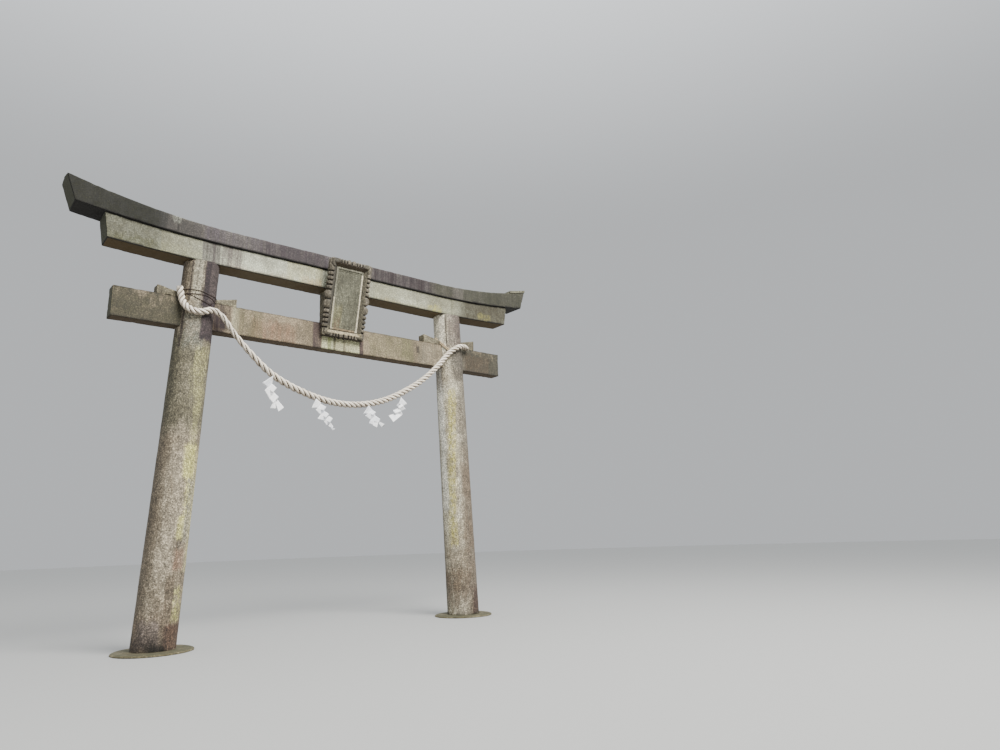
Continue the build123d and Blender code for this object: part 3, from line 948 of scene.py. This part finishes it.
# Each stain: heights, sides, strength, then ragged, broken, soft and plumb where given, and its tint.
left_stains_and_shade = [
    # Painted shade down the left outline.
    (whole_pillar, (-1.4, -0.62), 0.7, 0.1, 0.0, 0.35, left_edge_shade),
    ((2.9, 4.3), (-1.4, 1.4), 0.6, 0.3, (64, 65, 50)),
    ((4.1, 4.75), (-0.5, 0.45), 0.6, 0.15, 0.5, (100, 102, 93)),
    ((0.0, 0.50), (-1.4, 1.4), 0.6, 0.3, foot_brown),
    ((0.90, 2.70), (-0.30, 0.60), 0.3, 0.3, (160, 151, 132)),
    ((1.40, 2.30), (0.66, 1.0), 0.5, 0.1, (166, 162, 144)),
    ((3.40, 4.12), (0.22, 0.86), 0.6, 0.12, 0.6, lichen),
    ((2.70, 3.45), (0.52, 0.80), 0.65, 0.10, 0.6, lichen),
    ((2.25, 2.72), (0.34, 0.90), 0.85, 0.06, 0.3, bright_lichen),
    ((1.72, 2.27), (0.55, 0.86), 0.55, 0.08, 0.9, bright_lichen),
    ((1.43, 1.74), (0.38, 0.72), 0.85, 0.05, 0.3, bright_lichen),
    ((1.45, 2.25), (0.72, 0.94), 0.6, 0.06, 0.95, (56, 53, 48)),
    ((1.00, 2.60), (0.93, 1.4), 0.7, 0.04, (158, 152, 112)),
    ((1.33, 1.45), (0.42, 0.76), 0.7, 0.05, 0.5, rain_dark),
    ((1.04, 1.30), (0.42, 0.86), 0.55, 0.08, rust_red),
    ((0.40, 0.95), (0.22, 0.64), 0.65, 0.15, (80, 70, 58)),
    ((0.40, 0.80), (0.64, 0.97), 0.65, 0.08, 0.8, bright_lichen),
    ((0.08, 0.40), (-0.8, 0.2), 0.4, 0.1, (100, 92, 92)),
    ((0.02, 0.34), (0.38, 1.4), 0.75, 0.06, (70, 52, 43)),
    ((4.80, 5.6), (-0.36, 0.14), 0.7, 0.06, 0.3, rain_pale),
    ((4.75, 5.6), (0.20, 1.4), 0.90, 0.06, purple),
    ((4.75, 5.6), (0.20, 0.50), 0.6, 0.06, 0.0, 0.08, (28, 21, 25)),
    ((4.22, 4.80), (0.30, 1.4), 0.92, 0.08, purple),
    ((4.80, 5.6), (-0.50, -0.39), 0.85, 0.02, 0.0, 0.05, rain_dark),
    ((4.80, 5.6), (-0.16, -0.10), 0.5, 0.02, 0.0, 0.04, rain_dark),
    ((4.80, 5.6), (0.10, 0.17), 0.5, 0.02, 0.0, 0.04, rain_dark),
    ((4.10, 4.80), (-0.70, -0.57), 0.85, 0.03, 0.0, 0.05, rain_dark),
    ((-0.2, 0.26), (-1.4, 0.60), 0.6, 0.2, (50, 44, 40)),
    ((-0.2, 0.12), (-0.35, 0.52), 0.92, 0.16, 0.0, 0.2, black_moss),
]
print("stains on the left pillar:", len(left_stains_and_shade))

# %% [markdown]
# The right pillar's stains are laid in the same way. Its lichen keeps to one plumb band, so those two
# rows drift with the lean. Both pillars are cut only by level planes, because they are already round.
# The two base stones are nearly level with the ground and share one plain granite.

# %% Pillars and base stones
pillar_steps = (0.0, 0.0, 0.03)
base_steps = (0.05, 0.05, 0.0)
moss = (35, 34, 27)
right_stains_and_shade = [
    ((1.8, 5.0), (-0.93, -0.50), 0.85, 0.1, (194, 191, 178)),
    # Grime and painted shade below the tie beam's joint, left of the pillar.
    ((4.02, 4.5), (-1.4, -0.45), 0.65, 0.15, 0.0, 0.2, (86, 79, 74)),
    # Painted shade down the left outline.
    (whole_pillar, (-1.4, -0.94), 0.7, 0.04, (84, 80, 70)),
    (whole_pillar, (0.45, 1.4), 0.72, 0.1, 0.0, 0.3, (80, 73, 65)),
    ((0.0, 1.30), (-0.9, 1.4), 0.4, 0.5, (84, 67, 52)),
    ((0.22, 0.85), (-1.2, 0.4), 0.6, 0.3, (66, 50, 37)),
    ((1.2, 2.8), (0.35, 1.4), 0.4, 0.4, (92, 74, 58)),
    ((1.20, 4.0), (-0.24, 0.32), 0.75, 0.09, 0.6, 0.12, 0.14, (152, 144, 78)),
    ((1.60, 3.0), (-0.60, -0.30), 0.3, 0.2, 0.4, 0.12, 0.14, (104, 98, 74)),
    ((4.70, 5.6), (-1.0, -0.15), 0.75, 0.08, 0.2, (194, 188, 170)),
    # Painted shadow of the rope and its ties.
    ((4.20, 4.80), (0.15, 1.4), 0.75, 0.1, 0.0, 0.2, (70, 65, 58)),
    ((5.02, 5.6), (0.62, 1.4), 0.7, 0.1, (66, 63, 55)),
    ((4.80, 5.6), (0.02, 1.2), 0.75, 0.08, 0.3, (82, 72, 68)),
    ((4.70, 5.6), (-0.12, -0.03), 0.9, 0.02, 0.0, 0.04, rain_dark),
    ((0.0, 0.48), (0.62, 1.4), 0.75, 0.15, (60, 45, 41)),
    ((-0.2, 0.05), (-1.4, 1.4), 0.8, 0.06, moss),
]
left_granite = granite(
    "left_pillar_granite", (136, 126, 108), (112, 102, 86), (88, 79, 67), left_stains_and_shade, pillar_marks(-1),
    seed=1.0, wet=0.4, grain=1.5, streaky=0.4,
)
right_granite = granite(
    "right_pillar_granite", (168, 162, 143), (140, 132, 113), (104, 94, 81), right_stains_and_shade, pillar_marks(1),
    seed=7.0, wet=0.4, grain=1.4, streaky=0.4,
)
base_granite = granite("base_granite", (104, 97, 76), (80, 74, 54), (54, 50, 34), seed=3.0)
worn_stone("left_pillar", left_granite, pillar_steps)
worn_stone("right_pillar", right_granite, pillar_steps)
for side in ("left", "right"):
    worn_stone(side + "_base_stone", base_granite, base_steps, edge=0.006)
print("pillars and base stones worn")

# %% [markdown]
# The tie beam is a browner stone. Dirty water runs off the tablet onto it and has left a purple
# streak under each lower corner, with a washed pale patch and a few drips between them. A dark and a
# pale run stand side by side next to the left pillar. The two stubs past the pillars are greyer.
# The wedges and the strut are cut from the same stone.

# %% Tie beam, wedges and strut
beam_steps = (0.03, 0.03, 0.03)
wedge_steps = (0.02, 0.02, 0.02)
whole_beam = (4.2, 4.9)
# Each stain: places along x, heights, strength, then ragged, drawn, broken and soft where given,
# and its tint. The lintels and the tablet use the same order.
beam_stains_and_shade = [
    ((-4.0, -2.4), whole_beam, 0.88, 0.3, 0.0, 0.1, (49, 49, 38)),
    ((2.3, 4.0), whole_beam, 0.9, 0.3, 0.0, 0.1, (48, 49, 42)),
    ((-1.50, -0.80), (4.42, 4.72), 0.5, 0.12, 0.5, 0.15, (116, 84, 65)),
    ((0.5, 1.4), (4.45, 4.85), 0.5, 0.2, 0.3, 0.4, (92, 92, 62)),
    ((2.55, 3.2), (4.35, 4.75), 0.4, 0.12, 0.0, 0.4, (72, 56, 43)),
    ((-2.35, -1.90), (4.2, 4.74), 0.9, 0.06, 0.2, (46, 34, 35)),
    ((-2.06, -1.82), (4.48, 4.95), 0.85, 0.04, 0.5, (36, 27, 30)),
    ((-1.82, -1.70), (4.5, 4.95), 0.7, 0.04, 0.5, (146, 142, 118)),
    ((-1.74, -1.36), whole_beam, 0.6, 0.15, 0.5, (82, 79, 56)),
    ((1.50, 1.56), (4.62, 4.75), 0.8, 0.03, (40, 34, 32)),
    ((1.20, 1.45), whole_beam, 0.5, 0.1, 0.5, (90, 90, 62)),
    # Painted shadow and dirt just under the tablet's foot.
    ((-0.33, 0.35), (4.55, 4.66), 0.8, 0.02, (56, 52, 40)),
    ((1.55, 2.1), (4.3, 4.8), 0.4, 0.2, 0.4, (104, 102, 90)),
    ((2.3, 2.6), (4.3, 4.8), 0.4, 0.1, 0.5, (128, 124, 112)),
    ((-0.34, 0.35), whole_beam, 0.9, 0.02, (160, 160, 128)),
    ((-0.12, 0.18), whole_beam, 0.6, 0.08, 0.6, (132, 124, 96)),
    ((-0.235, -0.175), whole_beam, 0.65, 0.03, 0.3, (92, 98, 50)),
    ((-0.135, -0.09), whole_beam, 0.8, 0.03, 0.3, (60, 56, 40)),
    ((0.04, 0.09), whole_beam, 0.7, 0.03, 0.5, (74, 66, 54)),
    ((-0.50, -0.34), whole_beam, 0.8, 0.04, 0.3, (54, 42, 44)),
    ((0.35, 0.42), whole_beam, 0.8, 0.025, (56, 42, 44)),
]
beam_granite = granite(
    "tie_beam_granite", (130, 117, 97), (101, 91, 74), (80, 71, 60), beam_stains_and_shade,
    seed=2.0, ends=0.8, shade_below=(66, 52, 32), streaky=0.35,
)
small_granite = granite("wedge_granite", (108, 102, 84), (86, 80, 66), (60, 54, 45), seed=5.0)
# Its low and high rounded edges are painted dark: dirt and painted shade.
worn_stone("tie_beam", beam_granite, beam_steps, edge_dirt_and_shade=(0.6, 0.6))
worn_stone("middle_strut", small_granite)
for place in ("left_outer", "left_inner", "right_inner", "right_outer"):
    worn_stone(place + "_wedge", small_granite, wedge_steps, edge=0.010, chips=0.018)
print("tie beam, strut and wedges worn")

# %% [markdown]
# The lower lintel is the palest stone, because the top lintel sticks out over it. It goes from a
# yellow left end, past one wide purple run over the left pillar, to a clean grey middle and a
# browner right end with two bright spots of lichen.

# %% Lower lintel
lower_height = (5.2, 5.9)
lower_stains_and_shade = [
    # A dark yellow-green left end: algae, and painted leaf shade.
    ((-4.2, -2.75), lower_height, 0.88, 0.15, 0.0, 0.15, 0.25, (53, 51, 28)),
    ((-2.9, -2.32), lower_height, 0.7, 0.02, 0.0, 0.3, (112, 110, 86)),
    # A darker band along the top: grime, and painted shadow under the top lintel.
    ((-4.2, 4.2), (5.60, 6.2), 0.30, 0.08, (96, 94, 86)),
    ((-2.32, -2.06), lower_height, 0.90, 0.02, 0.25, (60, 52, 53)),
    ((-2.04, -1.74), (5.4, 5.9), 0.70, 0.08, 0.6, (80, 71, 70)),
    ((-1.9, -0.9), (5.36, 5.5), 0.4, 0.1, 0.5, (150, 132, 112)),
    ((-0.75, -0.40), (5.3, 5.56), 0.6, 0.08, 0.4, (140, 112, 84)),
    ((-1.0, -0.4), (5.45, 5.8), 0.4, 0.12, 0.5, (150, 144, 98)),
    ((0.5, 1.5), lower_height, 0.5, 0.4, 0.0, 0.3, (120, 118, 92)),
    ((1.6, 2.5), lower_height, 0.72, 0.15, 0.0, 0.2, 0.2, (102, 99, 78)),
    ((0.6, 1.7), (5.3, 5.48), 0.45, 0.12, 0.5, (132, 120, 80)),
    ((2.42, 4.2), lower_height, 0.92, 0.1, 0.0, 0.1, 0.2, (50, 45, 32)),
    ((1.72, 2.05), (5.44, 5.56), 0.7, 0.08, 0.0, 0.7, (146, 140, 76)),
    ((2.90, 3.2), (5.50, 5.62), 0.6, 0.08, 0.0, 0.7, (124, 118, 66)),
]
lower_granite = granite(
    "lower_lintel_granite", (164, 166, 147), (134, 134, 117), (106, 102, 89), lower_stains_and_shade,
    seed=4.0, wet=0.4, grain=0.8, ends=0.85, shade_below=(68, 52, 20), streaky=0.3,
)


def worn_lintel(which, material, edge_dirt_and_shade):
    """The three stones of a lintel, whose faces stay flush where they meet."""
    across = [v.co.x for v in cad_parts[which + "_middle"].data.vertices]
    joints = (min(across), max(across))
    for part in ("left", "middle", "right"):
        worn_stone(which + "_" + part, material, flush=joints, edge_dirt_and_shade=edge_dirt_and_shade)
    print("joints of the", which, [round(x, 2) for x in joints])


# Its low and high rounded edges are painted dark: dirt, and painted shade under the top lintel.
worn_lintel("lower_lintel", lower_granite, (1.0, 0.8))

# %% [markdown]
# The top lintel takes the whole weather. Its front is a dark purple grey, deepest right of the
# tablet, where one smear is nearly red. Its ends are green grey with algae, and darkened further
# with painted shade; the left end's darkness is partly painted leaf shade. A pale scar marks
# the joint over the left pillar. A thin slab lies along the top of the right end.

# %% Top lintel
slab_steps = (0.02, 0.02, 0.0)
top_height = (5.5, 6.6)
top_stains_and_shade = [
    ((-2.4, 1.7), top_height, 0.8, 0.4, 0.5, (68, 62, 66)),
    ((-1.45, -0.35), top_height, 0.65, 0.2, 0.5, (43, 35, 37)),
    ((0.38, 1.60), top_height, 0.80, 0.12, 0.6, (33, 23, 23)),
    # A dark green left end: algae, and painted leaf shade.
    ((-4.6, -2.86), top_height, 0.88, 0.2, (19, 21, 8)),
    ((-2.95, -2.40), top_height, 0.6, 0.2, 0.3, (51, 49, 47)),
    ((1.45, 1.78), top_height, 0.6, 0.1, 0.3, (38, 30, 31)),
    ((1.82, 2.3), top_height, 0.75, 0.05, 0.4, 0.0, 0.1, (48, 48, 36)),
    ((2.5, 4.6), top_height, 0.86, 0.3, 0.2, (44, 45, 34)),
    ((-2.77, -2.66), (5.95, 6.4), 0.8, 0.05, 0.0, 0.6, (112, 112, 102)),
    ((-2.8, -2.4), (6.03, 6.4), 0.5, 0.1, 0.0, 0.4, (92, 90, 80)),
]
top_granite = granite(
    "top_lintel_granite", (88, 84, 77), (66, 62, 57), (46, 42, 40), top_stains_and_shade,
    seed=6.0, ends=0.85, shade_below=(22, 18, 13), streaky=0.5,
)
slab_granite = granite("slab_granite", (100, 98, 82), (80, 78, 64), (56, 54, 44), seed=11.0)
# Its low rounded edges are painted dark: dirt and painted shade.
worn_lintel("top_lintel", top_granite, (1.0, 0.0))
worn_stone("right_end_slab", slab_granite, slab_steps, edge=0.005, chips=0.008)

# %% [markdown]
# The tablet is carved from finer stone. Its four boards have a rim like a row of scrolls: between
# two cusps the stone swells, and at each cusp it drops into a dark groove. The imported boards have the
# lobed outline and a plain groove at each cusp, so the carving only has to deepen them. The boards
# are turned into the tablet's own upright frame first, because there a scroll is a simple function
# of the height or the width, and turned back when they are done.

# %% The tablet's own frame
tablet_lean = math.radians(12.4)
tablet_foot = Vector((0.0, -0.2073, 4.623))
half_width = 0.375
tablet_height = 1.300
rim_width = 0.065
upright = Matrix.Translation(tablet_foot) @ Matrix.Rotation(tablet_lean, 4, "X")
side_middle = 0.605
side_long = 0.158
side_pitch = 0.078
end_long = 0.091
end_pitch = 0.052


def cusp_row(middle, long, pitch, count):
    """Cusps about a middle one: a long scroll next to it on either side, then shorter ones."""
    away = [long + pitch * number for number in range(count)]
    return [middle - gap for gap in reversed(away)] + [middle] + [middle + gap for gap in away]


side_cusps = cusp_row(side_middle, side_long, side_pitch, 5)
end_cusps = cusp_row(0.0, end_long, end_pitch, 3)
print("the tablet's top stands forward by", round(tablet_height * math.sin(tablet_lean), 3), "m")

# %% [markdown]
# In that frame, x is the width, z the height, and y runs from the rim's front to the back. A scroll
# is a pillow between two cusps: flat in the middle, steep at the cusps, and round at the outer edge.
# The four corners are low round bosses with a ring cut round each. Both forms are plain functions of
# a place. A pair called a fade names two distances, with nothing of a form at the first and all of
# it at the second, and a soft step between them.

# %% Scrolls and bosses
cusp_fade = (0.014, 0.0)
boss_middle = 0.080
boss_radius = 0.070
boss_height = 0.012
ring_depth = 0.006
ring_width = 0.007


def soft_step(value, low, high):
    share = min(1.0, max(0.0, (value - low) / (high - low)))
    return share * share * (3.0 - 2.0 * share)


def scroll(at, cusps):
    """How far the carving has dropped here, from 0 on top of a scroll to 1 in a groove."""
    for low, high in zip(cusps, cusps[1:]):
        if low <= at <= high:
            return abs((at - low) / (high - low) * 2.0 - 1.0) ** 3
    return max(soft_step(abs(at - cusp), *cusp_fade) for cusp in (cusps[0], cusps[-1]))


def boss(x, z):
    """Height of the round boss and the ring round it, near a corner of the frame, and the ring's share."""
    far = math.hypot(half_width - boss_middle - abs(x), boss_middle - min(z, tablet_height - z))
    dome = max(0.0, 1.0 - (far / boss_radius) ** 2)
    ring = math.exp(-(((far - boss_radius) / ring_width) ** 2))
    return boss_height * math.sqrt(dome) - ring_depth * ring, ring


along_scroll = [side_cusps[0] + side_pitch * share for share in (0.5, 0.75, 0.9)]
print("the carving's drop towards a cusp:", [round(scroll(z, side_cusps), 2) for z in along_scroll])

# %% [markdown]
# The carving moves the corners of a board's fine mesh. Near the outer edge the pillow rounds off, at
# each cusp the front and the outer side sink in, and near a corner of the frame the boss rises. What
# lies deep is also marked as a groove, where the stone is painted black, as dirt and as painted
# shade; so are the strip along each board's inner edge and the bottom board's underside, as painted
# shade. Cutting the grooves with booleans would be slower, and would leave them with hard edges.

# %% Carving
scroll_depth = 0.026
scroll_sideways = 0.010
scroll_fade = (0.050, 0.020)
cut_fade = (0.016, 0.006)
side_fade = (0.020, 0.0)
rim_fade = (rim_width + 0.010, rim_width - 0.006)
pillow_radius = 0.030
pillow_height = 0.8
pillow_fade = (0.045, 0.005)
boss_fade = (0.040, 0.010)
# How dark the ring round a boss is painted: dirt and painted shade.
ring_dirt_and_shade = 0.7
corner_fade = (0.185, 0.150)
corner_rim_fade = (rim_width + 0.02, rim_width)
splay_end = 0.118
board_end = 0.1295
foot_edge = 0.004
foot_depth = 0.10


def carve(shape, upright_board):
    """Sinks the grooves of one board's rim, from its front and from its outer side."""
    groove = shape.verts.layers.float["groove"]
    for vert in shape.verts:
        x, y, z = vert.co
        from_side = half_width - abs(x)
        from_end = min(z, tablet_height - z)
        from_edge = from_side if upright_board else from_end
        at, cusps = (z, side_cusps) if upright_board else (x, end_cusps)
        drop = scroll(at, cusps)
        on_rim = soft_step(from_edge, *rim_fade)
        dark = soft_step(min(abs(at - cusp) for cusp in cusps), *cut_fade) * on_rim
        if from_edge < pillow_radius:
            over = 1.0 - max(0.0, from_edge) / pillow_radius
            fall = pillow_radius * (1.0 - math.sqrt(1.0 - over * over))
            vert.co.y += fall * soft_step(y, *pillow_fade) * pillow_height
        vert.co.y += scroll_depth * drop * on_rim * soft_step(y, *scroll_fade)
        inwards = scroll_sideways * drop * soft_step(from_edge, *side_fade)
        if upright_board:
            vert.co.x -= math.copysign(inwards, x)
        else:
            vert.co.z += inwards if z < tablet_height / 2 else -inwards
        in_corner = soft_step(max(from_side, from_end), *corner_fade)
        in_corner *= soft_step(min(from_side, from_end), *corner_rim_fade)
        height, ring = boss(x, z)
        vert.co.y -= height * in_corner * soft_step(y, *boss_fade)
        dark = max(dark, ring_dirt_and_shade * ring * in_corner)
        under_foot = not upright_board and z < foot_edge and y < foot_depth
        # Grooves, each board's inner edge and the bottom board's underside are marked for black: dirt and
        # painted shade.
        vert[groove] = 1.0 if splay_end < from_edge < board_end or under_foot else dark


print("the carving sinks the front at a cusp by", round(scroll_depth * 1000), "mm")

# %% [markdown]
# Every stone of the tablet that is carved goes through the same steps: a rounded copy is stood
# upright, shaped, leant forward again and worn. The four boards are cut finely along their rims
# before they are carved. Their stains are mostly painted light and shade on the splayed inner faces:
# painted shade at the sides and the top, and a painted highlight along the bottom.

# %% The four boards
side_board_steps = (0.010, 0.016, 0.006)
end_board_steps = (0.006, 0.016, 0.010)


def shaped_upright(name, material, change, edge, segments, rough, chips):
    """A stone of the tablet, changed by a function while it stands upright."""
    shape, worn = rounded_copy(name, edge, segments)
    bmesh.ops.transform(shape, matrix=upright.inverted(), verts=shape.verts)
    change(shape)
    bmesh.ops.transform(shape, matrix=upright, verts=shape.verts)
    wear_down(shape, worn, rough, chips)
    return finished_stone(name, shape, material)


def carve_side_board(shape):
    cut_in_steps(shape, side_board_steps)
    split_large_faces(shape)
    carve(shape, True)


def carve_end_board(shape):
    cut_in_steps(shape, end_board_steps)
    split_large_faces(shape)
    carve(shape, False)


whole_tablet = (4.5, 6.1)
tablet_shading_and_stains = [
    # The next four rows are painted shade on the two side splays and the top one, and a painted highlight on
    # the bottom one.
    ((-0.320, -0.246), whole_tablet, 0.9, 0.004, (62, 59, 52)),
    ((0.246, 0.318), whole_tablet, 0.85, 0.004, (74, 70, 58)),
    ((-0.315, 0.315), (4.684, 4.740), 0.9, 0.004, (140, 130, 104)),
    ((-0.26, 0.26), (5.78, 5.842), 0.9, 0.004, (44, 36, 28)),
    ((-0.40, -0.26), (4.55, 4.80), 0.5, 0.03, (88, 84, 70)),
]
tablet_granite = granite(
    "tablet_granite", (108, 101, 88), (75, 70, 60), (50, 45, 38), tablet_shading_and_stains, seed=8.0, grain=1.0
)
for place in ("top", "bottom", "left", "right"):
    change = carve_side_board if place in ("left", "right") else carve_end_board
    name = "tablet_" + place + "_board"
    board = shaped_upright(name, tablet_granite, change, edge=0.005, segments=2, rough=0.0018, chips=0.006)
    print(board.name, "faces", len(board.data.polygons))

# %% [markdown]
# Inside the boards lies a flat panel with a raised band round it and one thin line cut just inside
# the band. The line is made with insets: the first comes in from the panel's edge, the second sinks
# the line's bottom, and the third brings the middle back up. The panel stays bare, because its
# writing isn't copied.

# %% Panel and band
line_from_edge = 0.058
line_half_width = 0.005
line_depth = 0.005
panel_steps = (0.03, 0.0, 0.03)
panel_stains = [
    ((-0.23, -0.06), (4.80, 5.15), 0.5, 0.12, 0.0, 0.4, (116, 112, 80)),
    ((-0.18, -0.08), (4.78, 4.96), 0.6, 0.05, 0.0, 0.8, (96, 72, 58)),
    ((-0.23, 0.23), (5.50, 5.90), 0.4, 0.10, (72, 71, 60)),
]
panel_granite = granite(
    "panel_granite", (96, 95, 80), (74, 73, 61), (54, 50, 40), panel_stains, seed=9.0, wet=0.5, grain=0.9
)


def incise_line(shape):
    """Cuts the line into the panel's front, which is its large face nearest the viewer."""
    front = [min(shape.faces, key=lambda f: f.calc_center_median().y - f.calc_area())]
    insets = ((line_from_edge, 0.0), (line_half_width, -line_depth), (line_half_width, line_depth))
    for width, depth in insets:
        bmesh.ops.inset_region(shape, faces=front, thickness=width, depth=depth, use_even_offset=True)
    cut_in_steps(shape, panel_steps)


shaped_upright("tablet_panel", panel_granite, incise_line, edge=0.002, segments=1, rough=0.0012, chips=0.002)
band_stains = [
    ((0.205, 0.270), (4.76, 5.72), 0.9, 0.01, (168, 160, 138)),
    ((-0.270, -0.205), (4.76, 5.30), 0.85, 0.04, (156, 150, 128)),
    ((-0.200, 0.200), (4.70, 4.82), 0.9, 0.01, (112, 98, 76)),
]
band_granite = granite(
    "band_granite", (112, 110, 95), (92, 90, 78), (60, 56, 48), band_stains, seed=10.0, wet=0.4, grain=0.7
)
worn_stone("tablet_moulding", band_granite, edge=0.003, rough=0.001, chips=0.003)
print("panel and band worn")

# %% [markdown]
# Four iron stays hold the tablet off the lintels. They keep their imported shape, and need only rust:
# dark iron with orange patches, rough all over.

# %% Iron stays
def rusty_iron():
    material, place = start_material("rusty_iron")
    rust = place.clouds(35.0, 4.0).between(0.4, 0.6)
    tint = rust.mix((44, 36, 32), (92, 56, 34))
    return finish_material(material, tint, rust * 0.3 + 0.6, place.clouds(120.0), 0.002)


iron = rusty_iron()
for name in ("lower_stay_left", "lower_stay_right", "upper_stay_left", "upper_stay_right"):
    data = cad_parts[name].data
    data.materials.clear()
    data.materials.append(iron)
print("stays finished in", iron.name)

# %% [markdown]
# The light is an overcast sky: a pale world, brighter overhead than at the horizon, and one very
# large soft lamp high in front, which gives the round pillars and the undersides their shape. The
# floor is plain and pale.

# %% Floor and light
floor_radius = 60.0
floor_grey = (0.36, 0.36, 0.35, 1.0)
sky_tint = (0.94, 0.97, 1.0, 1.0)
sky_at_horizon = 0.60
extra_overhead = 1.5
sky_fade = (0.4, 1.0)
lamp_size = 10.0
lamp_power = 5600.0
lamp_tint = (1.0, 0.985, 0.95)
lamp_place = Vector((1.5, -11.5, 15.0))
lamp_target = Vector((0.0, 0.0, 4.0))

shape = bmesh.new()
bmesh.ops.create_circle(shape, cap_ends=True, segments=96, radius=floor_radius)
floor = bpy.data.objects.new("floor", mesh_of_shape("floor", shape))
bpy.context.collection.objects.link(floor)
floor_material = start_material("pale_floor")[0]
feed(floor_material, "Base Color", floor_grey)
feed(floor_material, "Roughness", 0.9)
floor.data.materials.append(floor_material)

world = bpy.data.worlds.new("world")
bpy.context.scene.world = world
world.use_nodes = True
sky_tree = world.node_tree
background = sky_tree.nodes["Background"]
sky_place = Socket(sky_tree, sky_tree.nodes.new("ShaderNodeTexCoord").outputs["Generated"])
sky_light = sky_place.axis("Z").between(*sky_fade) * extra_overhead + sky_at_horizon
sky_tree.links.new(sky_light.out, background.inputs["Strength"])
background.inputs["Color"].default_value = sky_tint

lamp_data = bpy.data.lights.new("soft_sky", "AREA")
lamp_data.shape = "DISK"
lamp_data.size = lamp_size
lamp_data.energy = lamp_power
lamp_data.color = lamp_tint
lamp = bpy.data.objects.new("soft_sky", lamp_data)
bpy.context.collection.objects.link(lamp)
lamp.location = lamp_place
lamp.rotation_euler = (lamp_target - lamp_place).to_track_quat("-Z", "Y").to_euler()
print("lamp", round(lamp.location.length, 1), "m from the middle")
